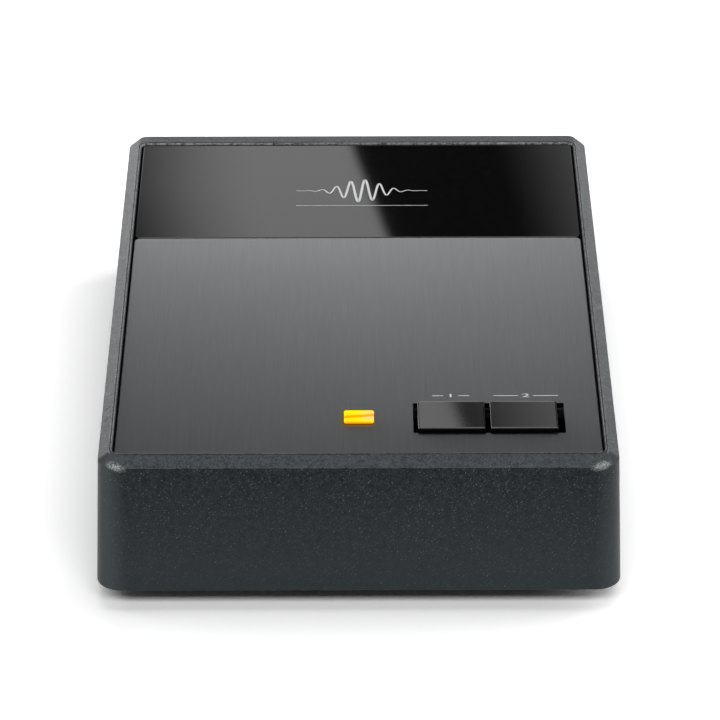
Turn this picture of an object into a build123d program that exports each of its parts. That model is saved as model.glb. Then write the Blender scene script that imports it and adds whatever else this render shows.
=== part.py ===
from build123d import *
import os

os.makedirs("parts", exist_ok=True)

# A desktop phono preamp. Millimetres, +Z up, front towards -Y, origin on the floor under the middle of
# the whole unit, sockets included. Places on the case are measured from the case's own middle.

# ---------------------------------------------------------------- driving dimensions
# case: a drafted casting with a bevelled rim
case_width = 101.6
case_depth = 153.0
case_height = 28.4
foot_height = 4.8           # floor to the underside of the case
draft_inset = 0.83          # how far each wall leans in on its way up to the bevel
bevel_height = 1.8
bevel_width = 2.2
case_corner = 5.0           # corner radius at the foot of the walls
bevel_corner = 4.2          # at the lower edge of the bevel
rim_corner = 1.6            # at the upper edge of the bevel
hem_radius = 0.45           # rounding under the walls
rear_overhang = 8.0         # how far the ground post stands out behind the case

# recess in the top for the two panels, with a fine groove that sets off a narrow lip
recess_width = 94.54
recess_front = -72.97
recess_back = 69.94
recess_corner = 1.7
lip_width = 0.28
groove_width = 0.22
groove_depth = 0.35
panel_sink = 0.3            # rim to the top of the panels
panel_thickness = 1.0
adhesive_thickness = 0.2
deck_thickness = 2.3

# inside of the case
cavity_width = 94.0
cavity_front = -72.8
cavity_back = 72.6
cavity_corner = 2.5
ledge_width = 0.7           # step round the open underside that the base plate sits on

# top panels
panel_gap = 0.55            # between the panels and the sides of the recess
trim_front = -72.5
trim_back = 22.45
gloss_front = 22.8
gloss_back = 69.8
panel_corner = 1.2

# buttons, in one slot at the right of the trim plate
slot_left = 10.6
slot_right = 40.05
slot_front = -64.45
slot_back = -52.05
slot_corner = 0.3
button_width = 13.05
button_depth = 11.05
button_rise = 0.85          # above the trim plate
button_travel = 1.8
button_edge = 0.3           # rounding of its top edges
left_button_x = 18.0
right_button_x = 32.05
button_y = -58.35

# indicator
lens_width = 5.85
lens_depth = 4.9
lens_rise = 0.5
lens_corner = 0.55
lens_x = 0.1
lens_y = -58.24

# base plate and feet
base_thickness = 1.0
base_sink = 0.3             # the base plate lies this much inside the underside
foot_radius = 5.75
foot_x = 41.5
foot_y = 56.0

# circuit board
board_width = 91.0
board_front = -71.0
board_back = 71.0
board_thickness = 1.6
board_under = 12.0          # floor to the underside of the board
board_screw_x = 41.0
board_screw_y = 30.0

# rear panel and what passes through it, seen from behind with +x to the right
panel_y = 74.1              # middle of the case to the inner face of the rear panel
rear_width = 90.0
rear_height = 18.0
rear_thickness = 1.2
rear_corner = 1.5
window_width = 80.4
window_height = 13.2
rear_screw_x = 42.9
phono_sockets = {"left_input": -34.5, "right_input": -20.5, "left_output": 5.5, "right_output": 19.5}
ground_x = -7.5
dc_x = 34.0
socket_rise = 6.5           # top of the board to the axes of the sockets
socket_width = 10.5
socket_height = 12.2
socket_depth = 12.0
barrel_radius = 4.15
barrel_root_radius = 3.95   # where the barrel passes through the panel into the body
barrel_bore = 3.5
barrel_length = 8.2         # outside the rear panel
contact_radius = 2.1
contact_bore = 1.6

# gain switches under the board
dip_x = 18.0
dip_y = 15.0
dip_pitch = 2.54
dip_travel = 1.6

# fits
running_gap = 0.1

# ---------------------------------------------------------------- derived levels and places
case_y = -rear_overhang / 2
bevel_z = foot_height + case_height - bevel_height
rim_z = foot_height + case_height
panel_top = rim_z - panel_sink
panel_under = panel_top - panel_thickness
deck_top = panel_under - adhesive_thickness
deck_under = deck_top - deck_thickness
base_under = foot_height + base_sink
base_top = base_under + base_thickness
board_top = board_under + board_thickness
socket_z = board_top + socket_rise
recess_depth = recess_back - recess_front
recess_y = (recess_back + recess_front) / 2
cavity_depth = cavity_back - cavity_front
cavity_y = (cavity_back + cavity_front) / 2
panel_width = recess_width - 2 * panel_gap
slot_width = slot_right - slot_left
slot_depth = slot_back - slot_front
slot_x = (slot_right + slot_left) / 2
slot_y = (slot_back + slot_front) / 2
foot_points = [(x, y) for x in (-foot_x, foot_x) for y in (-foot_y, foot_y)]
board_screw_points = [
    (x, y) for x in (-board_screw_x, board_screw_x) for y in (-board_screw_y, board_screw_y)
]
rear_screw_points = [(-rear_screw_x, 0), (rear_screw_x, 0)]


def level(z, y=0.0):
    """A horizontal plane at height z, its origin y behind the middle of the case."""
    return Plane(origin=(0, case_y + y, z))


def upright(y):
    """A plane that faces backwards at the sockets' height: x to the right as seen from behind, y up."""
    return Plane(origin=(0, case_y + y, socket_z), x_dir=(-1, 0, 0), z_dir=(0, 1, 0))


def save(piece, name):
    piece.part.label = name
    export_step(piece.part, f"parts/{name}.step")


# ---------------------------------------------------------------- housing
boss_radius = 3.4
boss_top = 24.0
rib_thickness = 4.0
base_screw_radius = 1.25
base_screw_hole = 9.5       # depth of each screw's hole
board_boss_radius = 3.0
board_screw_radius = 1.05
board_screw_hole = 7.0
rear_screw_hole = 6.0
thread_relief = 0.02
slot_ease = 0.3             # the deck's cut-outs stand back from the trim plate's
rear_block_width = 6.7
rear_block_depth = 6.6
rear_block_height = 7.0
pocket_ease = 0.2

with BuildPart() as housing:
    with BuildSketch(level(foot_height)):
        RectangleRounded(case_width, case_depth, case_corner)
    with BuildSketch(level(bevel_z)):
        RectangleRounded(case_width - 2 * draft_inset, case_depth - 2 * draft_inset, bevel_corner)
    loft(ruled=True)
    fillet(housing.edges().group_by(Axis.Z)[0], hem_radius)
    with BuildSketch(level(bevel_z)):
        RectangleRounded(case_width - 2 * draft_inset, case_depth - 2 * draft_inset, bevel_corner)
    with BuildSketch(level(rim_z)):
        inset = draft_inset + bevel_width
        RectangleRounded(case_width - 2 * inset, case_depth - 2 * inset, rim_corner)
    loft(ruled=True)

    # inside, open below, with a ledge for the base plate
    with BuildSketch(level(foot_height, cavity_y)):
        RectangleRounded(cavity_width, cavity_depth, cavity_corner)
    extrude(amount=deck_under - foot_height, mode=Mode.SUBTRACT)
    with BuildSketch(level(foot_height, cavity_y)):
        RectangleRounded(
            cavity_width + 2 * ledge_width, cavity_depth + 2 * ledge_width, cavity_corner + ledge_width
        )
    extrude(amount=base_top - foot_height, mode=Mode.SUBTRACT)

    # bosses for the base screws, each tied to the side wall by a rib
    with BuildSketch(level(base_top)):
        with Locations(*foot_points):
            Circle(boss_radius)
        rib_length = cavity_width / 2 - foot_x
        rib_x = foot_x + rib_length / 2
        with Locations(*[(x, y) for x in (-rib_x, rib_x) for y in (-foot_y, foot_y)]):
            Rectangle(rib_length, rib_thickness)
    extrude(amount=boss_top - base_top)
    with BuildSketch(level(base_top)):
        with Locations(*foot_points):
            Circle(base_screw_radius + thread_relief)
    extrude(amount=base_screw_hole, mode=Mode.SUBTRACT)

    # bosses that hang from the deck and carry the board
    with BuildSketch(level(board_top)):
        with Locations(*board_screw_points):
            Circle(board_boss_radius)
    extrude(amount=deck_under - board_top)
    with BuildSketch(level(board_top)):
        with Locations(*board_screw_points):
            Circle(board_screw_radius + thread_relief)
    extrude(amount=board_screw_hole, mode=Mode.SUBTRACT)

    # recess for the panels and the groove outside its lip
    with BuildSketch(level(rim_z, recess_y)):
        RectangleRounded(recess_width, recess_depth, recess_corner)
    extrude(amount=deck_top - rim_z, mode=Mode.SUBTRACT)
    with BuildSketch(level(rim_z, recess_y)):
        groove_reach = lip_width + groove_width
        RectangleRounded(
            recess_width + 2 * groove_reach, recess_depth + 2 * groove_reach, recess_corner + groove_reach
        )
        RectangleRounded(
            recess_width + 2 * lip_width, recess_depth + 2 * lip_width, recess_corner + lip_width,
            mode=Mode.SUBTRACT,
        )
    extrude(amount=-groove_depth, mode=Mode.SUBTRACT)

    # cut-outs in the deck for the buttons and the lens
    with BuildSketch(level(deck_top)):
        with Locations((slot_x, slot_y)):
            Rectangle(slot_width + 2 * slot_ease, slot_depth + 2 * slot_ease)
        with Locations((lens_x, lens_y)):
            Rectangle(lens_width + 2 * slot_ease, lens_depth + 2 * slot_ease)
    extrude(amount=-deck_thickness, mode=Mode.SUBTRACT)

    # back wall: pocket for the rear panel, window for the sockets, blocks for the panel's screws
    with BuildSketch(upright(panel_y)):
        RectangleRounded(
            rear_width + 2 * pocket_ease, rear_height + 2 * pocket_ease, rear_corner + pocket_ease
        )
    extrude(amount=case_depth, mode=Mode.SUBTRACT)
    with BuildSketch(upright(cavity_back)):
        Rectangle(window_width, window_height)
    extrude(amount=case_depth, mode=Mode.SUBTRACT)
    with BuildSketch(upright(cavity_back)):
        for side in (-1, 1):
            with Locations((side * (cavity_width / 2 - rear_block_width / 2), 0)):
                Rectangle(rear_block_width, rear_block_height)
    extrude(amount=-rear_block_depth)
    with BuildSketch(upright(panel_y)):
        with Locations(*rear_screw_points):
            Circle(board_screw_radius + thread_relief)
    extrude(amount=-rear_screw_hole, mode=Mode.SUBTRACT)
save(housing, "housing")

# ---------------------------------------------------------------- top panels
trim_edge = 0.1             # chamfer round the trim plate
gloss_edge = 0.15           # rounding round the gloss panel
adhesive_margin = 1.5       # the sheets stand back this far from the panels' edges
adhesive_ease = 0.6         # and this far from the trim plate's cut-outs

with BuildPart() as trim_plate:
    with BuildSketch(level(panel_under, (trim_front + trim_back) / 2)):
        RectangleRounded(panel_width, trim_back - trim_front, panel_corner)
    extrude(amount=panel_thickness)
    chamfer(trim_plate.faces().sort_by(Axis.Z)[-1].edges(), trim_edge)
    with BuildSketch(level(panel_under)):
        with Locations((slot_x, slot_y)):
            RectangleRounded(slot_width, slot_depth, slot_corner)
        with Locations((lens_x, lens_y)):
            RectangleRounded(
                lens_width + 2 * running_gap, lens_depth + 2 * running_gap, lens_corner + running_gap
            )
    extrude(amount=panel_thickness, mode=Mode.SUBTRACT)
save(trim_plate, "trim_plate")

with BuildPart() as gloss_panel:
    with BuildSketch(level(panel_under, (gloss_front + gloss_back) / 2)):
        RectangleRounded(panel_width, gloss_back - gloss_front, panel_corner)
    extrude(amount=panel_thickness)
    fillet(gloss_panel.faces().sort_by(Axis.Z)[-1].edges(), gloss_edge)
save(gloss_panel, "gloss_panel")

with BuildPart() as trim_plate_adhesive:
    with BuildSketch(level(deck_top)):
        with Locations((0, (trim_front + trim_back) / 2)):
            Rectangle(panel_width - 2 * adhesive_margin, trim_back - trim_front - 2 * adhesive_margin)
        with Locations((slot_x, slot_y)):
            Rectangle(slot_width + 2 * adhesive_ease, slot_depth + 2 * adhesive_ease, mode=Mode.SUBTRACT)
        with Locations((lens_x, lens_y)):
            Rectangle(lens_width + 2 * adhesive_ease, lens_depth + 2 * adhesive_ease, mode=Mode.SUBTRACT)
    extrude(amount=adhesive_thickness)
save(trim_plate_adhesive, "trim_plate_adhesive")

with BuildPart() as gloss_panel_adhesive:
    with BuildSketch(level(deck_top, (gloss_front + gloss_back) / 2)):
        Rectangle(panel_width - 2 * adhesive_margin, gloss_back - gloss_front - 2 * adhesive_margin)
    extrude(amount=adhesive_thickness)
save(gloss_panel_adhesive, "gloss_panel_adhesive")

# ---------------------------------------------------------------- indicator
light_pipe_width = 4.2
light_pipe_depth = 3.6
light_pipe_end = 18.8
lens_flange = 1.0
lens_edge = 0.15
led_radius = 1.5
led_height = 4.6
led_dome = 1.4              # rounding of its top
led_rim_width = 0.4
led_rim_height = 1.0

with BuildPart() as indicator_lens:
    with BuildSketch(level(deck_under)):
        with Locations((lens_x, lens_y)):
            RectangleRounded(lens_width, lens_depth, lens_corner)
    extrude(amount=panel_top + lens_rise - deck_under)
    fillet(indicator_lens.faces().sort_by(Axis.Z)[-1].edges(), lens_edge)
    with BuildSketch(level(deck_under)):
        with Locations((lens_x, lens_y)):
            Rectangle(lens_width + 2 * lens_flange, lens_depth + 2 * lens_flange)
    extrude(amount=-lens_flange)
    with BuildSketch(level(deck_under)):
        with Locations((lens_x, lens_y)):
            Rectangle(light_pipe_width, light_pipe_depth)
    extrude(amount=light_pipe_end - deck_under)
save(indicator_lens, "indicator_lens")

with BuildPart() as indicator_led:
    with BuildSketch(level(board_top)):
        with Locations((lens_x, lens_y)):
            Circle(led_radius + led_rim_width)
    extrude(amount=led_rim_height)
    with BuildSketch(level(board_top)):
        with Locations((lens_x, lens_y)):
            Circle(led_radius)
    extrude(amount=led_height)
    fillet(indicator_led.faces().sort_by(Axis.Z)[-1].edges(), led_dome)
save(indicator_led, "indicator_led")

# ---------------------------------------------------------------- push buttons and their switches
button_top = panel_top + button_rise
flange_gap = 0.3            # between the flanges and the deck, with the button up
flange_top = deck_under - flange_gap
flange_thickness = 1.0
flange_depth = 14.7
button_under = flange_top - flange_thickness
button_wall = 1.2
post_size = 6.4
plunger_size = 3.2
plunger_socket = 3.4
switch_size = 8.0
switch_height = 8.5
switch_chamfer = 0.4
switch_top = board_top + switch_height
plunger_reach = 3.6         # length of plunger inside the switch, with the button up
plunger_under = switch_top - plunger_reach
bore_end_gap = 0.6          # under the plunger, with the button down
switch_bore_depth = plunger_reach + button_travel + bore_end_gap
spring_radius = 2.6
spring_wire = 0.2
spring_turns = 5
spring_end_gap = 0.05

for name, x in (("mono", left_button_x), ("filter", right_button_x)):
    # cap: a moulded shell with flanges front and back that catch under the deck
    with BuildPart() as button:
        with BuildSketch(level(button_under)):
            with Locations((x, button_y)):
                Rectangle(button_width, button_depth)
        extrude(amount=button_top - button_under)
        fillet(button.faces().sort_by(Axis.Z)[-1].edges(), button_edge)
        with BuildSketch(level(button_under)):
            with Locations((x, button_y)):
                Rectangle(button_width, flange_depth)
        extrude(amount=flange_thickness)
        with BuildSketch(level(button_under)):
            with Locations((x, button_y)):
                Rectangle(button_width - 2 * button_wall, button_depth - 2 * button_wall)
                Rectangle(post_size, post_size, mode=Mode.SUBTRACT)
                Rectangle(plunger_size, plunger_size)
        extrude(amount=plunger_socket, mode=Mode.SUBTRACT)
    save(button, f"{name}_button")

    # switch: square body on the board, square plunger, coil spring between body and cap
    with BuildPart() as switch_body:
        with BuildSketch(level(board_top)):
            with Locations((x, button_y)):
                Rectangle(switch_size, switch_size)
        extrude(amount=switch_height)
        chamfer(switch_body.edges().filter_by(Axis.Z), switch_chamfer)
        with BuildSketch(level(switch_top)):
            with Locations((x, button_y)):
                Rectangle(plunger_size + 2 * running_gap, plunger_size + 2 * running_gap)
        extrude(amount=-switch_bore_depth, mode=Mode.SUBTRACT)
    save(switch_body, f"{name}_switch_body")

    with BuildPart() as plunger:
        with BuildSketch(level(plunger_under)):
            with Locations((x, button_y)):
                Rectangle(plunger_size, plunger_size)
        extrude(amount=button_under + plunger_socket - plunger_under)
    save(plunger, f"{name}_switch_plunger")

    spring_height = button_under - switch_top - 2 * (spring_wire + spring_end_gap)
    spring_base = (x, case_y + button_y, switch_top + spring_wire + spring_end_gap)
    with BuildPart() as spring:
        with BuildLine(Plane(origin=spring_base)) as coil:
            Helix(pitch=spring_height / spring_turns, height=spring_height, radius=spring_radius)
        with BuildSketch(Plane(origin=coil.line @ 0, z_dir=coil.line % 0)):
            Circle(spring_wire)
        sweep(path=coil.line, is_frenet=True)
    save(spring, f"{name}_switch_spring")

# ---------------------------------------------------------------- circuit board and what stands on it
board_corner = 1.5
board_hole_radius = 1.4
notch_width = 8.2           # notches round the housing's bosses
notch_inner = 37.4
capacitor_radius = 3.15
capacitor_height = 11.0
capacitor_edge = 0.4
film_width = 7.2
film_depth = 4.5
film_height = 9.5
film_corner = 0.4
chip_width = 9.6
chip_depth = 6.4
chip_height = 3.6
regulator_width = 10.0
regulator_depth = 4.5
regulator_height = 13.0
film_points = [(x, y) for x in (-26, -14, -2, 10) for y in (2, 14)]
electrolytic_points = [(x, y) for x in (-28, -18, 24, 33) for y in (-12, -24)]
chip_points = [(x, y) for x in (-8, 8) for y in (-16, -32)]
regulator_points = [(-30, 38), (-16, 38)]

with BuildPart() as circuit_board:
    with BuildSketch(level(board_under)):
        with Locations((0, (board_front + board_back) / 2)):
            RectangleRounded(board_width, board_back - board_front, board_corner)
        for x, y in foot_points:
            side = 1 if x > 0 else -1
            with Locations((side * (notch_inner + board_width / 2) / 2, y)):
                Rectangle(board_width / 2 - notch_inner, notch_width, mode=Mode.SUBTRACT)
        with Locations(*board_screw_points):
            Circle(board_hole_radius, mode=Mode.SUBTRACT)
    extrude(amount=board_thickness)
save(circuit_board, "circuit_board")

with BuildPart() as film_capacitors:
    with BuildSketch(level(board_top)):
        with Locations(*film_points):
            RectangleRounded(film_width, film_depth, film_corner)
    extrude(amount=film_height)
save(film_capacitors, "film_capacitors")

with BuildPart() as electrolytic_capacitors:
    with BuildSketch(level(board_top)):
        with Locations(*electrolytic_points):
            Circle(capacitor_radius)
    extrude(amount=capacitor_height)
    can_tops = electrolytic_capacitors.faces().sort_by(Axis.Z)[-len(electrolytic_points):]
    fillet(can_tops.edges(), capacitor_edge)
save(electrolytic_capacitors, "electrolytic_capacitors")

with BuildPart() as op_amps:
    with BuildSketch(level(board_top)):
        with Locations(*chip_points):
            Rectangle(chip_width, chip_depth)
    extrude(amount=chip_height)
save(op_amps, "op_amps")

with BuildPart() as voltage_regulators:
    with BuildSketch(level(board_top)):
        with Locations(*regulator_points):
            Rectangle(regulator_width, regulator_depth)
    extrude(amount=regulator_height)
save(voltage_regulators, "voltage_regulators")

# ---------------------------------------------------------------- gain switches under the board
dip_ways = 4
dip_width = 11.6
dip_depth = 8.4
dip_height = 5.2
dip_under = board_under - dip_height
dip_slot_width = 1.3
dip_slot_length = 3.4
dip_slot_depth = 1.4
slider_length = 1.6
slider_rise = 0.4           # below the block's face
slider_depth = 1.1          # inside its slot
slider_edge = 0.1

for name, x in (("left", -dip_x), ("right", dip_x)):
    slider_xs = [x + (index - (dip_ways - 1) / 2) * dip_pitch for index in range(dip_ways)]
    with BuildPart() as dip_body:
        with BuildSketch(level(dip_under)):
            with Locations((x, dip_y)):
                Rectangle(dip_width, dip_depth)
        extrude(amount=dip_height)
        with BuildSketch(level(dip_under)):
            with Locations(*[(slider_x, dip_y) for slider_x in slider_xs]):
                Rectangle(dip_slot_width, dip_slot_length)
        extrude(amount=dip_slot_depth, mode=Mode.SUBTRACT)
    save(dip_body, f"{name}_gain_switch_body")

    for index, slider_x in enumerate(slider_xs):
        with BuildPart() as slider:
            with BuildSketch(level(dip_under - slider_rise)):
                with Locations((slider_x, dip_y - dip_travel / 2)):
                    Rectangle(dip_slot_width - 2 * running_gap, slider_length)
            extrude(amount=slider_rise + slider_depth)
            chamfer(slider.faces().sort_by(Axis.Z)[0].edges(), slider_edge)
        save(slider, f"{name}_gain_slider_{index + 1}")

# ---------------------------------------------------------------- base plate and feet
base_clearance = 0.2
base_width = cavity_width + 2 * (ledge_width - base_clearance)
base_depth = cavity_depth + 2 * (ledge_width - base_clearance)
gain_window_width = 13.4
gain_window_depth = 10.0
gain_window_corner = 1.0
screw_clearance = 1.7
foot_edge = 0.8
foot_recess_radius = 3.2
foot_recess_depth = 2.9

with BuildPart() as base_plate:
    with BuildSketch(level(base_under, cavity_y)):
        RectangleRounded(base_width, base_depth, cavity_corner + ledge_width - base_clearance)
    extrude(amount=base_thickness)
    with BuildSketch(level(base_under)):
        with Locations(*foot_points):
            Circle(screw_clearance)
        with Locations((-dip_x, dip_y), (dip_x, dip_y)):
            RectangleRounded(gain_window_width, gain_window_depth, gain_window_corner)
    extrude(amount=base_thickness, mode=Mode.SUBTRACT)
save(base_plate, "base_plate")

foot_names = ("left_front_foot", "left_rear_foot", "right_front_foot", "right_rear_foot")
for name, place in zip(foot_names, foot_points):
    with BuildPart() as foot:
        with BuildSketch(level(0)):
            with Locations(place):
                Circle(foot_radius)
        extrude(amount=base_under)
        fillet(foot.faces().sort_by(Axis.Z)[0].edges(), foot_edge)
        with BuildSketch(level(0)):
            with Locations(place):
                Circle(foot_recess_radius)
        extrude(amount=foot_recess_depth, mode=Mode.SUBTRACT)
        with BuildSketch(level(0)):
            with Locations(place):
                Circle(screw_clearance)
        extrude(amount=base_under, mode=Mode.SUBTRACT)
    save(foot, name)


def pan_head_screws(seat, points, head_radius, head_height, shank_radius, shank_length):
    """Cross-head screws under a seat plane whose normal points along their shanks."""
    head_rounding = head_height / 3
    cross_length = head_radius
    cross_width = head_radius / 4
    cross_depth = head_height * 0.55
    with BuildPart() as screws:
        with BuildSketch(seat):
            with Locations(*points):
                Circle(head_radius)
        extrude(amount=-head_height)
        head_faces = screws.faces().sort_by(Axis(seat.origin, seat.z_dir))
        fillet(head_faces[: len(points)].edges(), head_rounding)
        with BuildSketch(seat):
            with Locations(*points):
                Circle(shank_radius)
        extrude(amount=shank_length)
        with BuildSketch(seat.offset(-head_height)):
            with Locations(*points):
                Rectangle(cross_length, cross_width)
                Rectangle(cross_width, cross_length)
        extrude(amount=cross_depth, mode=Mode.SUBTRACT)
    return screws


base_screw_head = (2.75, 2.0)       # radius and height
base_screw_length = 11.8
base_screws = pan_head_screws(
    level(foot_recess_depth), foot_points, *base_screw_head, base_screw_radius, base_screw_length
)
save(base_screws, "base_screws")

board_screw_head = (2.2, 1.6)
board_screw_length = 7.5
board_screws = pan_head_screws(
    level(board_under), board_screw_points, *board_screw_head, board_screw_radius, board_screw_length
)
save(board_screws, "board_screws")

# ---------------------------------------------------------------- rear panel
socket_hole_radius = barrel_root_radius + 0.15
rear_screw_hole_radius = board_screw_radius + 0.3
rear_screw_head = (2.0, 1.4)        # radius and height
rear_screw_length = 6.5
dc_collar_radius = 4.2
stud_radius = 2.0

with BuildPart() as rear_panel:
    with BuildSketch(upright(panel_y)):
        RectangleRounded(rear_width, rear_height, rear_corner)
        with Locations(*[(x, 0) for x in phono_sockets.values()]):
            Circle(socket_hole_radius, mode=Mode.SUBTRACT)
        with Locations((ground_x, 0)):
            Circle(stud_radius + running_gap, mode=Mode.SUBTRACT)
        with Locations((dc_x, 0)):
            Circle(dc_collar_radius + running_gap, mode=Mode.SUBTRACT)
        with Locations(*rear_screw_points):
            Circle(rear_screw_hole_radius, mode=Mode.SUBTRACT)
    extrude(amount=rear_thickness)
save(rear_panel, "rear_panel")

panel_face = panel_y + rear_thickness
rear_seat = Plane(origin=(0, case_y + panel_face, socket_z), x_dir=(1, 0, 0), z_dir=(0, -1, 0))
rear_panel_screws = pan_head_screws(
    rear_seat, rear_screw_points, *rear_screw_head, board_screw_radius, rear_screw_length
)
save(rear_panel_screws, "rear_panel_screws")

# ---------------------------------------------------------------- phono sockets
barrel_root = 2.0           # length held in the body
barrel_tip = panel_face + barrel_length
barrel_edge = 0.25
insulator_sink = 0.6        # behind the barrel's mouth
contact_sink = 1.5          # behind the insulator's face
insulator_mouth = 1.8
contact_length = 8.0
socket_bottom = -socket_rise

for name, x in phono_sockets.items():
    with BuildPart() as socket_body:
        with BuildSketch(upright(panel_y)):
            with Locations((x, socket_bottom + socket_height / 2)):
                Rectangle(socket_width, socket_height)
        extrude(amount=-socket_depth)
        with BuildSketch(upright(panel_y)):
            with Locations((x, 0)):
                Circle(barrel_root_radius)
        extrude(amount=-barrel_root, mode=Mode.SUBTRACT)
    save(socket_body, f"{name}_socket_body")

    with BuildPart() as barrel:
        with BuildSketch(upright(panel_face)):
            with Locations((x, 0)):
                Circle(barrel_radius)
        extrude(amount=barrel_length)
        chamfer(barrel.faces().sort_by(Axis.Y)[-1].edges(), barrel_edge)
        with BuildSketch(upright(panel_y - barrel_root)):
            with Locations((x, 0)):
                Circle(barrel_root_radius)
        extrude(amount=barrel_root + rear_thickness)
        with BuildSketch(upright(panel_y - barrel_root)):
            with Locations((x, 0)):
                Circle(barrel_bore)
        extrude(amount=barrel_root + barrel_tip - panel_y, mode=Mode.SUBTRACT)
    save(barrel, f"{name}_barrel")

    with BuildPart() as insulator:
        with BuildSketch(upright(panel_y - barrel_root)):
            with Locations((x, 0)):
                Circle(barrel_bore)
        extrude(amount=barrel_root + barrel_tip - insulator_sink - panel_y)
        with BuildSketch(upright(barrel_tip - insulator_sink)):
            with Locations((x, 0)):
                Circle(insulator_mouth)
        extrude(amount=-contact_sink, mode=Mode.SUBTRACT)
        with BuildSketch(upright(barrel_tip - insulator_sink - contact_sink)):
            with Locations((x, 0)):
                Circle(contact_radius)
        extrude(amount=-contact_length, mode=Mode.SUBTRACT)
    save(insulator, f"{name}_insulator")

with BuildPart() as socket_contacts:
    with BuildSketch(upright(barrel_tip - insulator_sink - contact_sink)):
        with Locations(*[(x, 0) for x in phono_sockets.values()]):
            Circle(contact_radius)
            Circle(contact_bore, mode=Mode.SUBTRACT)
    extrude(amount=-contact_length)
save(socket_contacts, "socket_contacts")

# ---------------------------------------------------------------- power jack
dc_width = 9.2
dc_height = 12.2
dc_depth = 13.0
dc_bore = 3.15
dc_bore_depth = 10.5
dc_collar_rise = 0.4        # behind the rear panel
dc_collar_length = rear_thickness + dc_collar_rise
dc_pin_radius = 1.05
dc_pin_length = 9.5
dc_pin_edge = 0.5

with BuildPart() as dc_jack_body:
    with BuildSketch(upright(panel_y)):
        with Locations((dc_x, socket_bottom + dc_height / 2)):
            Rectangle(dc_width, dc_height)
    extrude(amount=-dc_depth)
    with BuildSketch(upright(panel_y)):
        with Locations((dc_x, 0)):
            Circle(dc_collar_radius)
    extrude(amount=dc_collar_length)
    with BuildSketch(upright(panel_y + dc_collar_length)):
        with Locations((dc_x, 0)):
            Circle(dc_bore)
    extrude(amount=-dc_bore_depth, mode=Mode.SUBTRACT)
save(dc_jack_body, "dc_jack_body")

with BuildPart() as dc_jack_pin:
    with BuildSketch(upright(panel_y + dc_collar_length - dc_bore_depth)):
        with Locations((dc_x, 0)):
            Circle(dc_pin_radius)
    extrude(amount=dc_pin_length)
    fillet(dc_jack_pin.faces().sort_by(Axis.Y)[-1].edges(), dc_pin_edge)
save(dc_jack_pin, "dc_jack_pin")

# ---------------------------------------------------------------- ground post
stud_tip = case_depth / 2 + rear_overhang
stud_edge = 0.4
stud_inside = 5.0
collar_radius = 4.2
collar_length = 1.5
washer_radius = 4.5
washer_thickness = 0.8
lock_nut_flats = 7.0
lock_nut_thickness = 3.2
nut_radius = 4.8
nut_length = 4.6
nut_shoulder_radius = 3.6
nut_shoulder_length = 0.8
knurl_count = 30
knurl_size = 0.45
thread_gap = 0.05

with BuildPart() as ground_stud:
    with BuildSketch(upright(panel_y - stud_inside)):
        with Locations((ground_x, 0)):
            Circle(stud_radius)
    extrude(amount=stud_inside + stud_tip - panel_y)
    chamfer(ground_stud.faces().sort_by(Axis.Y)[-1].edges(), stud_edge)
    with BuildSketch(upright(panel_face)):
        with Locations((ground_x, 0)):
            Circle(collar_radius)
    extrude(amount=collar_length)
save(ground_stud, "ground_stud")

with BuildPart() as ground_lock_nut:
    with BuildSketch(upright(panel_y)):
        with Locations((ground_x, 0)):
            RegularPolygon(lock_nut_flats / 2, 6, major_radius=False)
            Circle(stud_radius, mode=Mode.SUBTRACT)
    extrude(amount=-lock_nut_thickness)
save(ground_lock_nut, "ground_lock_nut")

with BuildPart() as ground_washer:
    with BuildSketch(upright(panel_face + collar_length)):
        with Locations((ground_x, 0)):
            Circle(washer_radius)
            Circle(stud_radius + 2 * thread_gap, mode=Mode.SUBTRACT)
    extrude(amount=washer_thickness)
save(ground_washer, "ground_washer")

nut_seat = panel_face + collar_length + washer_thickness
with BuildPart() as ground_thumb_nut:
    with BuildSketch(upright(nut_seat)):
        with Locations((ground_x, 0)):
            Circle(nut_shoulder_radius)
    extrude(amount=nut_shoulder_length)
    with BuildSketch(upright(nut_seat + nut_shoulder_length)):
        with Locations((ground_x, 0)):
            Circle(nut_radius)
            with PolarLocations(nut_radius, knurl_count):
                Rectangle(knurl_size, knurl_size, rotation=45, mode=Mode.SUBTRACT)
    extrude(amount=nut_length - nut_shoulder_length)
    with BuildSketch(upright(nut_seat)):
        with Locations((ground_x, 0)):
            Circle(stud_radius + thread_gap)
    extrude(amount=nut_length, mode=Mode.SUBTRACT)
save(ground_thumb_nut, "ground_thumb_nut")
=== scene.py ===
import math

import bpy
from mathutils import Matrix, Vector


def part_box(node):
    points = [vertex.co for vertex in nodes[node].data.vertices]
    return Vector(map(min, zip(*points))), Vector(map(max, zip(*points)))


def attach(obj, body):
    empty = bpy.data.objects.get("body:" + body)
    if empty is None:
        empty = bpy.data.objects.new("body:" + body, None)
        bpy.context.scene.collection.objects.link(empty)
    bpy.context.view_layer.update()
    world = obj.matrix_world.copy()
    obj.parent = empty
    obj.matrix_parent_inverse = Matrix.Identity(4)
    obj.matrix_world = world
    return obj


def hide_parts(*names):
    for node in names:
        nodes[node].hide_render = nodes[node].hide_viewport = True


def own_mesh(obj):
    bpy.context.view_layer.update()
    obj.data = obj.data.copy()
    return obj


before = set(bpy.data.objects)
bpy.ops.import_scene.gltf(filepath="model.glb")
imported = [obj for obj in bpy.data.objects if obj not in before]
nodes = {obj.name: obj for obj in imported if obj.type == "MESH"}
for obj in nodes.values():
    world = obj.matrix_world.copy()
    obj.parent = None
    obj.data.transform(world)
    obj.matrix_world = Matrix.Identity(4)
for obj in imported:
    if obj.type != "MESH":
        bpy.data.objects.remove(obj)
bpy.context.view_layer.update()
mm = 0.001

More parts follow.
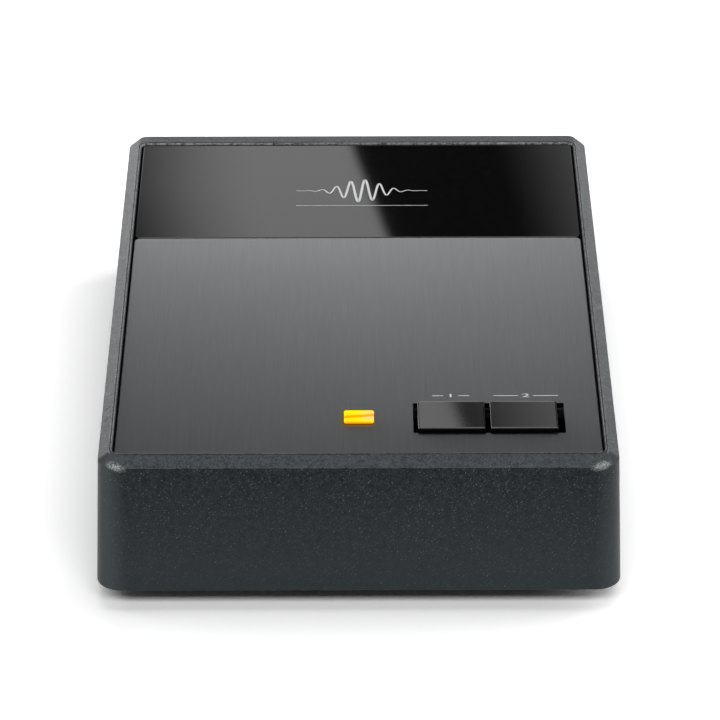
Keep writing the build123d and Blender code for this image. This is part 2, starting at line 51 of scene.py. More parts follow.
# ---------------------------------------------------------------- camera
# A long lens in front of the preamp and above it, so that its sides hardly converge and the whole top shows.
camera_place = Vector((-0.875, -834.031, 442.559)) * mm
camera_pitch = math.radians(27.219)
camera_yaw = math.radians(0.089)
camera_roll = math.radians(-0.101)

camera_data = bpy.data.cameras.new("camera")
camera_data.sensor_width = 36.0
camera_data.lens = 225.226
camera = bpy.data.objects.new("camera", camera_data)
turn = Matrix.Rotation(-camera_yaw, 4, "Z") @ Matrix.Rotation(math.pi / 2 - camera_pitch, 4, "X")
camera.matrix_world = Matrix.Translation(camera_place) @ turn @ Matrix.Rotation(camera_roll, 4, "Z")
bpy.context.scene.collection.objects.link(camera)
bpy.context.scene.camera = camera
bpy.context.scene.view_settings.view_transform = "Standard"


# ---------------------------------------------------------------- studio
# A white table in a dark room, with soft boxes above and at both sides. The room's wall shows only in what is
# glossy: pale low down, where the table's edge turns up, then dark, with a lit backdrop behind the preamp.
def new_material(name):
    """An empty material, its node tree and its output node."""
    material = bpy.data.materials.new(name)
    material.use_nodes = True
    tree = material.node_tree
    tree.nodes.clear()
    return material, tree, tree.nodes.new("ShaderNodeOutputMaterial")


def add(tree, kind, **values):
    """A node of that kind. Each value goes to the node's setting of that name, or else to its input."""
    node = tree.nodes.new("ShaderNode" + kind)
    for name, value in values.items():
        if hasattr(node, name):
            setattr(node, name, value)
        else:
            node.inputs[name.replace("_", " ")].default_value = value
    return node


def feed(tree, value, socket):
    """Sets an input to a number or a colour, or links it to the socket that gives its value."""
    if isinstance(value, bpy.types.NodeSocket):
        tree.links.new(value, socket)
    else:
        socket.default_value = (*value, 1.0) if isinstance(value, tuple) else value


def maths(tree, operation, *terms):
    """One Math node. Each term is a number or a socket."""
    node = add(tree, "Math", operation=operation)
    for socket, term in zip(node.inputs, terms):
        feed(tree, term, socket)
    return node.outputs[0]


def in_turn(tree, operation, first, *others):
    """Math nodes of one kind, which take in the terms one after another."""
    for other in others:
        first = maths(tree, operation, first, other)
    return first


def times(tree, *terms):
    return in_turn(tree, "MULTIPLY", *terms)


def plus(tree, *terms):
    return in_turn(tree, "ADD", *terms)


def greatest(tree, *terms):
    return in_turn(tree, "MAXIMUM", *terms)


def minus(tree, first, second):
    return maths(tree, "SUBTRACT", first, second)


def less(tree, value):
    """What the value lacks to 1."""
    return minus(tree, 1.0, value)


def share(tree, value, low, high, reach=(0.0, 1.0), curve="LINEAR"):
    """0 at low and 1 at high, or the two ends of the reach, and straight between them."""
    node = add(tree, "MapRange", interpolation_type=curve)
    for name, given in zip(("Value", "From Min", "From Max", "To Min", "To Max"), (value, low, high, *reach)):
        feed(tree, given, node.inputs[name])
    return node.outputs["Result"]


def step(tree, value, low, high):
    """0 at low and 1 at high, and smooth between them."""
    return share(tree, value, low, high, curve="SMOOTHSTEP")


def blend(tree, amount, first, second):
    """One colour with that amount of another over it. Each is a colour or a socket."""
    mix = add(tree, "MixRGB")
    for socket, value in zip(mix.inputs, (amount, first, second)):
        feed(tree, value, socket)
    return mix.outputs["Color"]


def at_point(tree, kind, point=None, **values):
    """A node that reads a point: that of the piece itself, in metres, where no other is given."""
    node = add(tree, kind, **values)
    if point is None:
        point = add(tree, "TexCoord").outputs["Object"]
    tree.links.new(point, node.inputs["Vector"])
    return node


def grey(value):
    return (value, value, value)


table_size = 6.0
table_colour = grey(0.86)
table_seen = grey(1.36)     # where it is the background, so that it stays white under soft light
table_mirrored = grey(0.95)

bpy.ops.object.select_all(action="DESELECT")
bpy.ops.mesh.primitive_plane_add(size=table_size)
table = bpy.context.object
table.name = "table"
material, tree, output = new_material("table_white")
rays = add(tree, "LightPath").outputs
mirrored = greatest(tree, rays["Is Glossy Ray"], rays["Is Transmission Ray"])
colour = blend(tree, mirrored, table_colour, table_mirrored)
colour = blend(tree, rays["Is Camera Ray"], colour, table_seen)
shader = add(tree, "BsdfDiffuse")
tree.links.new(colour, shader.inputs["Color"])
tree.links.new(shader.outputs[0], output.inputs["Surface"])
table.data.materials.append(material)

# The room itself: white where the camera or a mirror sees past the table, and nearly dark as a light.
room_light = 0.08
world = bpy.data.worlds.new("room")
bpy.context.scene.world = world
world.use_nodes = True
tree = world.node_tree
tree.nodes.clear()
rays = add(tree, "LightPath").outputs
seen = greatest(tree, rays["Is Camera Ray"], rays["Is Glossy Ray"], rays["Is Transmission Ray"], room_light)
background = add(tree, "Background", Color=(1, 1, 1, 1))
tree.links.new(seen, background.inputs["Strength"])
tree.links.new(background.outputs[0], add(tree, "OutputWorld").inputs["Surface"])

# The wall that shows in what is glossy. Sizes are in metres from the middle of the table, and levels of
# light are times as bright as white paper.
wall_distance = 0.9
wall_height = 0.8
dark_light = 0.012
sweep_light = 0.9           # the table's edge turns up all round
sweep_top = 0.06
sweep_fade = 0.11
backdrop_light = 2.45       # the lit backdrop behind the preamp, which fades out in a circle
backdrop_clear = 22.4       # degrees from the preamp's middle line at which the fade begins
backdrop_end = 26.4
backdrop_lean = 1.6         # how much darker it gets towards the right, for each metre
backdrop_eye_y = -0.025     # where the degrees are measured from
backdrop_eye_z = 0.033
window_x = 0.145            # half the width of the dark opening over the backdrop, where the two boxes stand
window_x_fade = 0.02
window_z = 0.36
window_z_fade = 0.03
left_box_light = 1.25
left_edge_x = -0.0033       # the left box's right edge where it is left_edge_z high, and how far it leans
left_edge_z = 0.409
left_edge_lean = 0.355
left_edge_blur = 0.003
left_end_z = (0.43, 0.545)      # two heights, and where the left box's left end is at them
left_end_x = (-0.12, -0.085)
left_end_fade = 0.08
right_box_light = 1.0
right_edge_x = 0.058        # the right box's left edge, as the left box's right one
right_edge_z = 0.43
right_edge_lean = 0.28
right_edge_fade = 0.09
right_edge_notch = 0.061    # how much further left the edge is in the box's upper half
notch_z = (0.46, 0.52)
right_end_x = (0.15, 0.10)      # where its light has gone, and where it begins to go
box_top = 0.585
box_top_fade = 0.03
flank_light = 5.2           # the backdrop's bright foot at both sides, which fades out from the middle line
flank_start = 23.0          # degrees, measured as those of the backdrop
flank_full = 26.5
flank_fade = 27.0
flank_end = 40.0
flank_end_right = 31.0
flank_top = 0.22
flank_top_fade = 0.12


def settle():
    """Puts the place, turn and scale of the selected pieces into their meshes."""
    bpy.ops.object.transform_apply(location=True, rotation=True, scale=True)


bpy.ops.mesh.primitive_cylinder_add(
    vertices=96, radius=wall_distance, depth=wall_height, end_fill_type="NOTHING",
    location=(0, 0, wall_height / 2),
)
wall = bpy.context.object
wall.name = "room_wall"
settle()
wall.visible_camera = False
wall.visible_diffuse = False
wall.visible_shadow = False
wall.visible_transmission = False


def leaning(tree, height, edge_x, edge_z, lean):
    """Where an edge is that leans over as it rises."""
    return plus(tree, times(tree, minus(tree, height, edge_z), lean), edge_x)


material, tree, output = new_material("room_wall")
x, y, z = at_point(tree, "SeparateXYZ").outputs
behind = maths(tree, "GREATER_THAN", y, 0.0)
sweep = times(tree, step(tree, z, sweep_top + sweep_fade, sweep_top), sweep_light)
rise = minus(tree, z, backdrop_eye_z)
away = maths(tree, "SQRT", plus(tree, times(tree, x, x), times(tree, rise, rise)))
cone = maths(tree, "ARCTAN2", away, minus(tree, y, backdrop_eye_y))
disc = step(tree, cone, math.radians(backdrop_end), math.radians(backdrop_clear))
opening_sides = step(tree, maths(tree, "ABSOLUTE", x), window_x, window_x - window_x_fade)
opening = times(tree, opening_sides, step(tree, z, window_z, window_z + window_z_fade))
backdrop = times(tree, disc, less(tree, opening), less(tree, times(tree, x, backdrop_lean)), backdrop_light)

left_edge = leaning(tree, z, left_edge_x, left_edge_z, left_edge_lean)
from_left_end = minus(tree, x, share(tree, z, *left_end_z, reach=left_end_x))
left_box = times(
    tree, step(tree, minus(tree, left_edge, x), -left_edge_blur, left_edge_blur),
    step(tree, from_left_end, 0.0, left_end_fade), left_box_light,
)
notch = times(tree, step(tree, z, *notch_z), right_edge_notch)
right_edge = minus(tree, leaning(tree, z, right_edge_x, right_edge_z, right_edge_lean), notch)
right_box = times(
    tree, step(tree, minus(tree, x, right_edge), 0.0, right_edge_fade),
    step(tree, x, *right_end_x), right_box_light,
)
under_top = step(tree, z, box_top, box_top - box_top_fade)
boxes = times(tree, greatest(tree, left_box, right_box), opening, under_top)

on_right = maths(tree, "GREATER_THAN", x, 0.0)
end = plus(tree, times(tree, on_right, math.radians(flank_end_right - flank_end)), math.radians(flank_end))
flank = times(
    tree, step(tree, cone, math.radians(flank_start), math.radians(flank_full)),
    step(tree, cone, end, math.radians(flank_fade)), step(tree, z, flank_top, flank_top - flank_top_fade),
    behind, flank_light,
)
level = greatest(tree, sweep, times(tree, greatest(tree, backdrop, boxes), behind), flank, dark_light)
glow = add(tree, "Emission")
tree.links.new(level, glow.inputs["Strength"])
tree.links.new(glow.outputs[0], output.inputs["Surface"])
wall.data.materials.append(material)

lamps_aim = Vector((0.0, 0.0, 0.02))


def soft_box(name, place, width, height, brightness):
    """A rectangular lamp that faces the preamp, with a face so many times as bright as white paper."""
    data = bpy.data.lights.new(name, "AREA")
    data.shape = "RECTANGLE"
    data.size = width
    data.size_y = height
    data.energy = brightness * math.pi * width * height
    lamp = bpy.data.objects.new(name, data)
    lamp.location = place
    lamp.rotation_euler = (lamps_aim - Vector(place)).to_track_quat("-Z", "Y").to_euler()
    lamp.visible_camera = False
    bpy.context.scene.collection.objects.link(lamp)


soft_box("top_box", (0.2, 0.0, 1.6), 1.2, 1.2, 1.65)
soft_box("front_top_box", (-0.1, -1.25, 1.15), 1.6, 0.4, 8.7)
soft_box("back_top_box", (0.0, 1.1, 1.3), 1.2, 0.5, 1.6)
soft_box("left_box", (-1.0, 0.3, 1.05), 0.5, 0.5, 2.0)
soft_box("right_box", (1.15, 0.45, 0.75), 0.9, 0.9, 2.9)

# ---------------------------------------------------------------- housing
# One aluminium casting, blasted and coated in a fine-textured dark grey paint that has bright flecks in it.
# Its rim is bevelled, and a machined groove and lip go round the recess for the top panels.

# Cast and moulded grain: pits and grains of one size, under slow clouds that thin them out here and there.
cloud_size = 28.0            # how many grains lie across a cloud
cast_grain = bpy.data.node_groups.new("cast_grain", "ShaderNodeTree")
for name, direction in (("Grains per metre", "INPUT"), ("Grain", "OUTPUT"), ("Cloud", "OUTPUT")):
    cast_grain.interface.new_socket(name, in_out=direction, socket_type="NodeSocketFloat")
count = cast_grain.nodes.new("NodeGroupInput").outputs[0]
result = cast_grain.nodes.new("NodeGroupOutput").inputs
cloud_count = maths(cast_grain, "DIVIDE", count, cloud_size)
for name, roughness, scale in (("Grain", 0.6, count), ("Cloud", 0.5, cloud_count)):
    noise = at_point(cast_grain, "TexNoise", Detail=2.0, Roughness=roughness)
    cast_grain.links.new(scale, noise.inputs["Scale"])
    cast_grain.links.new(noise.outputs["Fac"], result[name])


def grains(tree, count):
    """The cast grain in a material, with that many grains per metre."""
    return add(tree, "Group", node_tree=cast_grain, Grains_per_metre=count).outputs


def ramp(tree, value, *stops, between="EASE"):
    """A Color Ramp on a value. Each stop is a place from 0 to 1 and its colour."""
    node = add(tree, "ValToRGB")
    node.color_ramp.interpolation = between
    elements = node.color_ramp.elements
    while len(elements) < len(stops):
        elements.new(1.0)
    for element, (place, colour) in zip(elements, stops):
        element.position = place
        element.color = (*colour, 1.0)
    tree.links.new(value, node.inputs["Fac"])
    return node.outputs["Color"]


def mixed(tree, first, second, first_share):
    """That share of the first value, and the rest of the second."""
    return plus(tree, times(tree, first, first_share), times(tree, second, 1.0 - first_share))


def vary(tree, least, value, more):
    """The least where the value is 0, and so much more where it is 1."""
    return plus(tree, least, times(tree, value, more))


def apart(tree, first, second):
    """How far apart two values are."""
    return maths(tree, "ABSOLUTE", minus(tree, first, second))


def surface(tree, output, colour, roughness, height=None, depth=0.0, **values):
    """The Principled shader of a material, with its colour, its roughness and a relief of that depth."""
    shader = add(tree, "BsdfPrincipled", **values)
    feed(tree, colour, shader.inputs["Base Color"])
    feed(tree, roughness, shader.inputs["Roughness"])
    if height is not None:
        bump = add(tree, "Bump", Strength=1.0, Distance=depth)
        tree.links.new(height, bump.inputs["Height"])
        tree.links.new(bump.outputs["Normal"], shader.inputs["Normal"])
    tree.links.new(shader.outputs[0], output.inputs["Surface"])
    return shader


def finish(piece, material):
    """Gives the whole piece one material."""
    if piece.material_slots:
        for slot in piece.material_slots:
            slot.material = material
    else:
        piece.data.materials.append(material)


paint_dark = (0.0032, 0.0054, 0.0068)
paint_light = (0.0245, 0.0307, 0.0342)
paint_even_lit_foot = (0.0310, 0.0385, 0.0425)
paint_grains = 2700.0        # per metre
paint_mottles = 850.0
grain_share = 0.6            # how much of the paint's unevenness is grain. The rest is mottle
even_share = 0.75            # how much more even, and painted lighter, the paint is at the foot of the walls
foot_of_wall = 9 * mm
top_of_wall = 31 * mm
top_edge = 31.4 * mm         # where the walls meet the rim's bevel
edge_blur = 0.1 * mm
# A painted highlight: a thin light line along the edge where the walls meet the bevel.
edge_highlight_width = 0.13 * mm
edge_highlight_colour = (0.060, 0.067, 0.071)
# The rim's bevel and land are painted in lighter tones than the walls: painted light, as from above.
lit_rim_dark = (0.0215, 0.0254, 0.0280)
lit_rim_light = (0.0590, 0.0672, 0.0722)
rim_edge = 47.74 * mm        # from the middle to the sharp edge between bevel and groove at each side
rim_edge_blur = (0.30 * mm, 0.12 * mm)
land_height = 33.2 * mm      # the flat top of the rim
land_edge = (land_height - 0.15 * mm, land_height)
land_shade_share = 0.4             # how much darker it is than the bevel, as painted shade
dots_start = (land_height - 0.35 * mm, land_height - 0.2 * mm)     # how high the rim's sharp edge is rubbed and painted with highlight dots
rubbed_highlight_colour = (0.20, 0.207, 0.211)
less_rubbed_lit_front = (-76.5 * mm, -73 * mm)    # in front of the first an edge is hardly rubbed and has little painted highlight, behind the second fully
front_rubbed_lit_share = 0.35
# Painted light on the round corners of the walls, which are painted lighter than the faces:
paint_lit_corner = (0.0620, 0.0708, 0.0742)
left_corner = (-44.8 * mm, -48.2 * mm)      # from where on the round corner is painted light, and from where fully
left_light_share = 0.80                    # it gets more of that painted light than the right
right_corner = (45.4 * mm, 49.8 * mm)
right_light_share = 0.68
# A painted highlight at each corner of the rim's bevel:
corner_highlight_place = (46.7 * mm, 75.6 * mm, 31.60 * mm)     # from the middle of the case
corner_highlight_lean = 0.22             # how much the highlight spot drops towards the middle
corner_highlight_reach = (2.9 * mm, 2.3 * mm, 1.05 * mm)
corner_highlight_colour = (0.45, 0.46, 0.465)
case_middle_y = -4.0 * mm
fleck_colour = (0.285, 0.308, 0.318)
small_flecks = (0.33 * mm, 0.10 * mm, 0.60)     # size of a cell, radius of its fleck, share of cells with one
large_flecks = (1.3 * mm, 0.13 * mm, 0.55)
fleck_turn = (0.6, 0.7, 0.4)     # of the cells, so that no wall lies along a layer of them
fleck_dimming = 2.4              # the higher it is, the fewer flecks are bright
fleck_cover = 0.9                # how much of the paint's colour a bright one hides
lost_at_foot = 0.7               # how much less it hides where the paint is even
lost_on_rim = 0.45
grain_roughness = 0.14       # how much rougher the high grains are
rim_polish = 0.11            # how much that changes on the rim, where the high grains are smoother instead
relief_depth = 0.10 * mm


def flecks(tree, cell, radius, chosen_share):
    """Round flecks of one size, one in each chosen cell, with soft edges and their own brightness each."""
    turned = at_point(tree, "Mapping", Rotation=fleck_turn)
    cells = at_point(tree, "TexVoronoi", turned.outputs[0], Scale=1 / cell)
    lot = add(tree, "SeparateColor")
    tree.links.new(cells.outputs["Color"], lot.inputs[0])
    dot = share(tree, cells.outputs["Distance"], radius / cell, 0.5 * radius / cell)
    chosen = maths(tree, "LESS_THAN", lot.outputs[0], chosen_share)
    return times(tree, dot, chosen, maths(tree, "POWER", lot.outputs[1], fleck_dimming))


def worn_spot(tree, x, y, z):
    """1 in the middle of the painted highlight at each corner of the rim, and 0 round it."""
    drop = times(tree, minus(tree, x, corner_highlight_place[0]), corner_highlight_lean)
    squares = []
    for place, corner, reach in zip((x, y, minus(tree, z, drop)), corner_highlight_place, corner_highlight_reach):
        off = maths(tree, "DIVIDE", minus(tree, place, corner), reach)
        squares.append(times(tree, off, off))
    near = share(tree, plus(tree, *squares), 1.0, 0.0)
    return times(tree, near, near)


def textured_paint(name, gloss, rubbed_highlight_share=0.0, rubbed_highlight_to=None):
    """The case's paint: more even and painted lighter at the wall's foot, rubbed thin and painted with
    highlights on edges.
    """
    material, tree, output = new_material(name)
    grain = grains(tree, paint_grains)
    mottle = grains(tree, paint_mottles)
    x, y, z = at_point(tree, "SeparateXYZ").outputs
    aside = maths(tree, "ABSOLUTE", x)
    level = mixed(tree, grain["Grain"], mottle["Grain"], grain_share)
    even = times(tree, share(tree, z, top_of_wall, foot_of_wall), even_share)
    on_rim = share(tree, z, top_edge - edge_blur, top_edge + edge_blur)
    land_shade = times(tree, share(tree, z, *land_edge), land_shade_share)
    colour = ramp(tree, level, (0.36, paint_dark), (0.64, paint_light), between="LINEAR")
    # Painted light: towards the foot of the walls the paint turns lighter as well as more even.
    colour = blend(tree, even, colour, paint_even_lit_foot)
    # Painted light on the rim: lighter tones than on the walls, with painted shade on its flat land.
    rim = ramp(tree, level, (0.38, lit_rim_dark), (0.62, lit_rim_light), between="LINEAR")
    colour = blend(tree, on_rim, colour, blend(tree, land_shade, rim, paint_dark))
    # Painted light: the round corners of the walls are painted lighter, more at the left than at the right.
    on_left = times(tree, share(tree, x, *left_corner), left_light_share)
    on_right = times(tree, share(tree, x, *right_corner), right_light_share)
    colour = blend(tree, greatest(tree, on_left, on_right), colour, paint_lit_corner)

    fewer = share(tree, mottle["Cloud"], 0.38, 0.62, reach=(0.75, 1.0))
    shown = greatest(tree, times(tree, flecks(tree, *small_flecks), fewer), flecks(tree, *large_flecks))
    covered = minus(tree, fleck_cover, times(tree, even, lost_at_foot))
    shown = times(tree, shown, covered, less(tree, times(tree, on_rim, lost_on_rim)))
    colour = blend(tree, shown, colour, fleck_colour)

    # Painted highlight along the edge between wall and bevel.
    edge_highlight = share(tree, apart(tree, z, top_edge), edge_highlight_width, 0.0)
    colour = blend(tree, times(tree, edge_highlight, share(tree, level, 0.40, 0.52)), colour, edge_highlight_colour)
    # Painted highlight at each corner of the rim.
    corner_highlight = worn_spot(tree, aside, apart(tree, y, case_middle_y), z)
    colour = blend(tree, times(tree, corner_highlight, share(tree, grain["Grain"], 0.30, 0.66)), colour, corner_highlight_colour)
    # Dots of rubbed paint with a painted highlight along the rim's sharp edge.
    on_rim_edge = share(tree, apart(tree, aside, rim_edge), *rim_edge_blur)
    dots = share(tree, grain["Grain"], 0.46, 0.58)
    rubbed_highlight_dots = times(tree, on_rim_edge, dots, share(tree, z, *dots_start))
    colour = blend(tree, rubbed_highlight_dots, colour, rubbed_highlight_colour)
    # Rubbed paint with a painted highlight over it: faint at the front, full at the back and sides.
    if rubbed_highlight_share:
        at_side = share(tree, y, *less_rubbed_lit_front, reach=(front_rubbed_lit_share, 1.0))
        rubbed_highlight = times(tree, share(tree, level, 0.42, 0.58), at_side, rubbed_highlight_share)
        colour = blend(tree, rubbed_highlight, colour, rubbed_highlight_to)

    polished = share(tree, level, 0.40, 0.60, reach=(rim_polish, -rim_polish))
    rough = plus(tree, vary(tree, gloss, grain["Grain"], grain_roughness), times(tree, polished, on_rim))
    relief = times(tree, level, less(tree, even))
    surface(tree, output, colour, rough, relief, relief_depth, Specular_IOR_Level=0.13)
    return material


finish(nodes["housing"], textured_paint("textured_paint", 0.28))

# The lip between groove and recess: a half-round bead, machined before painting and rubbed lighter since,
# with a painted highlight over that, faint at the front. At the back it lies over the edge of the panel.
lip_half_width = 47.27 * mm
lip_front = -76.97 * mm
lip_back = 65.66 * mm
lip_reach = 0.28 * mm
lip_corner = 1.7 * mm
lip_profile = (              # how far in from the bead's outer edge, and how much higher than there
    (0.05, 0.04), (0.12, 0.04), (0.20, -0.01), (0.27, -0.10), (0.32, -0.20), (0.36, -0.32),
)
lip_rubbed_highlight_colour = (0.285, 0.292, 0.296)
rim_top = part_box("housing")[1][2]
corner_steps = 6             # of a plate's round corner


def clear_selection():
    bpy.ops.object.select_all(action="DESELECT")


def plate(name, left, right, front, back, height, corner=0.0):
    """A flat face with round corners, in edit mode and selected, to be shaped further."""
    clear_selection()
    bpy.ops.mesh.primitive_plane_add(size=1.0)
    piece = bpy.context.object
    piece.name = name
    piece.location = ((left + right) / 2, (front + back) / 2, height)
    piece.scale = (right - left, back - front, 1.0)
    settle()
    bpy.ops.object.mode_set(mode="EDIT")
    bpy.ops.mesh.select_all(action="SELECT")
    if corner:
        bpy.ops.mesh.bevel(offset=corner, segments=corner_steps, affect="VERTICES")
        bpy.ops.mesh.select_all(action="SELECT")
    return piece


def round_recess(name, outwards, height):
    """A plate over the whole recess and so much further out than the lip's inner line."""
    half_width = lip_half_width + outwards
    corner = lip_corner + outwards
    return plate(name, -half_width, half_width, lip_front - outwards, lip_back + outwards, height, corner)


def turn_outwards(merge=0.0):
    """Turns the faces of the piece in edit mode outwards, doubles merged first, and leaves edit mode."""
    bpy.ops.mesh.select_all(action="SELECT")
    if merge:
        bpy.ops.mesh.remove_doubles(threshold=merge)
    bpy.ops.mesh.normals_make_consistent(inside=False)
    bpy.ops.object.mode_set(mode="OBJECT")


recess_lip = round_recess("recess_lip", lip_reach, rim_top)
reached, risen = 0.0, 0.0
for reach, rise in lip_profile:
    bpy.ops.mesh.inset(thickness=(reach - reached) * mm, depth=(rise - risen) * mm)
    reached, risen = reach, rise
bpy.ops.mesh.delete(type="FACE")
bpy.ops.mesh.select_all(action="DESELECT")
bpy.ops.mesh.select_mode(type="EDGE")
bpy.ops.mesh.select_non_manifold()
bpy.ops.mesh.bridge_edge_loops()
turn_outwards()
bpy.ops.object.shade_smooth_by_angle(angle=math.radians(50))
finish(recess_lip, textured_paint("rubbed_highlight_edge_paint", 0.24, 0.85, lip_rubbed_highlight_colour))
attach(recess_lip, "case")

# A black strip closes the gap between the panels and the casting: painted shade, which no light comes out of.
gap_shade_dark = (0.0006, 0.0006, 0.0007)
gap_shade_light = (0.0016, 0.0016, 0.0018)
gap_shade_top = 32.72 * mm
gap_shade_depth = 0.9 * mm
gap_shade_outer = 0.18 * mm       # how far it goes under the lip
gap_shade_width = 0.70 * mm
gap_shade_thickness = 0.12 * mm

gap_shade, tree, output = new_material("gap_shade_black")
gap_shade_grain = grains(tree, 7000.0)["Grain"]
colour = ramp(tree, gap_shade_grain, (0.35, gap_shade_dark), (0.7, gap_shade_light))
surface(tree, output, colour, 0.95, gap_shade_grain, 0.05 * mm, Specular_IOR_Level=0.02)
gap_shade_strip = round_recess("gap_shade_strip", gap_shade_outer, gap_shade_top)
bpy.ops.mesh.inset(thickness=gap_shade_width, depth=0.0)
bpy.ops.mesh.inset(thickness=0.0, depth=-gap_shade_depth)
bpy.ops.mesh.delete(type="FACE")
turn_outwards(merge=1e-7)
bpy.ops.object.mode_set(mode="EDIT")
bpy.ops.mesh.solidify(thickness=gap_shade_thickness)
bpy.ops.object.mode_set(mode="OBJECT")
finish(gap_shade_strip, gap_shade)
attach(gap_shade_strip, "case")

# ---------------------------------------------------------------- trim plate
# Brushed aluminium, anodised dark grey, with its grain front to back and its edges broken by a fine chamfer.
# The scratches are long and very thin, so the plate mirrors sharply along them and widely across them.
brushed_light = (0.260, 0.264, 0.276)
brushed_dark = (0.218, 0.222, 0.233)
scratch_sizes = ((0.10 * mm, 11 * mm), (0.30 * mm, 26 * mm))     # width and length of the fine and the wide
fine_share = 0.68
scratch_depth = 0.0006 * mm

brushed, tree, output = new_material("brushed_aluminium")
scratches = []
for width, length in scratch_sizes:
    stretched = at_point(tree, "Mapping", Scale=(1 / width, 1 / length, 1 / width)).outputs[0]
    streaks = at_point(tree, "TexNoise", stretched, Scale=1.0, Detail=3.0, Roughness=0.65)
    scratches.append(streaks.outputs["Fac"])
scratch = mixed(tree, *scratches, fine_share)
colour = ramp(tree, scratch, (0.36, brushed_dark), (0.64, brushed_light), between="LINEAR")
rough = vary(tree, 0.28, scratch, 0.06)
shader = surface(tree, output, colour, rough, scratch, scratch_depth, Metallic=1.0, Anisotropic=1.0)
across_grain = add(tree, "CombineXYZ", X=1.0)
tree.links.new(across_grain.outputs[0], shader.inputs["Tangent"])
finish(nodes["trim_plate"], brushed)

# Printed marks of the two buttons: a wide numeral between two rules, in silver ink a few hundredths thick.
ink_light = (0.62, 0.63, 0.64)
ink_dark = tuple(0.86 * part for part in ink_light)
ink_thickness = 0.02 * mm
font_height = 0.73           # of a numeral, where the font's size is 1
panel_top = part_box("trim_plate")[1][2]
numeral_height = 1.5 * mm
numeral_width = 1.7          # times as wide as the plain letter form
rule_gap = 1.5 * mm
rule_depth = 0.22 * mm
mark_y = -53.0 * mm
button_marks = (("mono_mark", "1", 18.05 * mm, 7.3 * mm), ("filter_mark", "2", 32.75 * mm, 12.7 * mm))

silver_ink, tree, output = new_material("silver_ink")
ink = grains(tree, 9000.0)["Grain"]
surface(tree, output, ramp(tree, ink, (0.3, ink_dark), (0.7, ink_light)), 0.42, ink, 0.004 * mm)


def pick(*pieces):
    """Selects these pieces and no other, and makes the first the active one."""
    clear_selection()
    for piece in pieces:
        piece.select_set(True)
    bpy.context.view_layer.objects.active = pieces[0]


def thicken(thickness):
    """Gives the flat mesh that is open in edit mode a thickness, upwards from where it lies."""
    bpy.ops.mesh.select_all(action="SELECT")
    bpy.ops.mesh.extrude_region_move(TRANSFORM_OT_translate={"value": (0.0, 0.0, thickness)})
    turn_outwards()


def letter(text, x, y, z, height, widen, turn=(0.0, 0.0, 0.0)):
    """A printed letter or numeral, centred on the place, as a mesh."""
    clear_selection()
    bpy.ops.object.text_add(location=(x, y, z), rotation=turn)
    piece = bpy.context.object
    piece.data.body = text
    piece.data.align_x = "CENTER"
    piece.data.align_y = "CENTER"
    piece.data.size = height / font_height
    piece.data.extrude = ink_thickness / 2
    piece.scale = (widen, 1.0, 1.0)
    bpy.ops.object.convert(target="MESH")
    settle()
    return bpy.context.object


def bar(left, right, low, high, height=0.0):
    """A flat bar of ink, lying at that height."""
    piece = plate("bar", left, right, low, high, height)
    thicken(ink_thickness)
    return piece


def rules(x, y, inner, outer, depth, height=0.0):
    """Two bars of ink in line, each from inner to outer away from the middle."""
    ends = ((x - outer, x - inner), (x + inner, x + outer))
    return [bar(left, right, y - depth / 2, y + depth / 2, height) for left, right in ends]


def join(name, pieces):
    """Makes one piece of several."""
    pick(*pieces)
    bpy.ops.object.join()
    pieces[0].name = name
    return pieces[0]


for name, numeral, x, width in button_marks:
    parts = [letter(numeral, x, mark_y, panel_top + ink_thickness / 2, numeral_height, numeral_width)]
    parts += rules(x, mark_y, rule_gap, width / 2, rule_depth, panel_top)
    mark = join(name, parts)
    finish(mark, silver_ink)
    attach(mark, "case")

# ---------------------------------------------------------------- gloss panel
# A black sheet of polished acrylic, level with the trim plate and stuck down behind it. Its top is as good
# as flat: a slow ripple of the sheet bends the edges of what it mirrors a little.
gloss_dark = (0.0022, 0.0022, 0.0026)
gloss_light = (0.0032, 0.0032, 0.0037)

gloss, tree, output = new_material("polished_black")
ripple = at_point(tree, "TexNoise", Scale=1 / (16 * mm), Detail=0.0).outputs["Fac"]
haze = at_point(tree, "TexNoise", Scale=1 / (3 * mm), Detail=4.0, Roughness=0.7).outputs["Fac"]
colour = ramp(tree, haze, (0.35, gloss_dark), (0.75, gloss_light))
surface(tree, output, colour, vary(tree, 0.025, haze, 0.02), ripple, 0.004 * mm)
finish(nodes["gloss_panel"], gloss)

# The silver ornament printed on it: a groove's trace that swells and dies away, over a thin base line.
trace_left = -13.1 * mm
trace_right = 15.0 * mm
trace_y = 41.8 * mm
trace_middle = 0.9 * mm
trace_spread = 5.6 * mm
trace_wave = 3.1 * mm
trace_height = 5.6 * mm
trace_thin = 0.07 * mm       # half the line's width where it starts and in the middle of the swell
trace_thick = 0.26 * mm
trace_steps = 560
base_line_y = 34.3 * mm
base_line_depth = 0.15 * mm
gloss_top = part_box("gloss_panel")[1][2]
slope_step = 0.01 * mm       # over which the trace's slope is taken

clear_selection()
bpy.ops.mesh.primitive_grid_add(x_subdivisions=trace_steps, y_subdivisions=1, size=1.0)
trace = bpy.context.object
trace.name = "groove_trace"


def trace_point(x):
    """Height of the trace's middle line over its axis, and half its width."""
    swell = math.exp(-(((x - trace_middle) / trace_spread) ** 2))
    height = trace_height * swell * math.sin(2 * math.pi * (x - trace_middle) / trace_wave)
    return height, trace_thin + (trace_thick - trace_thin) * swell ** 0.5


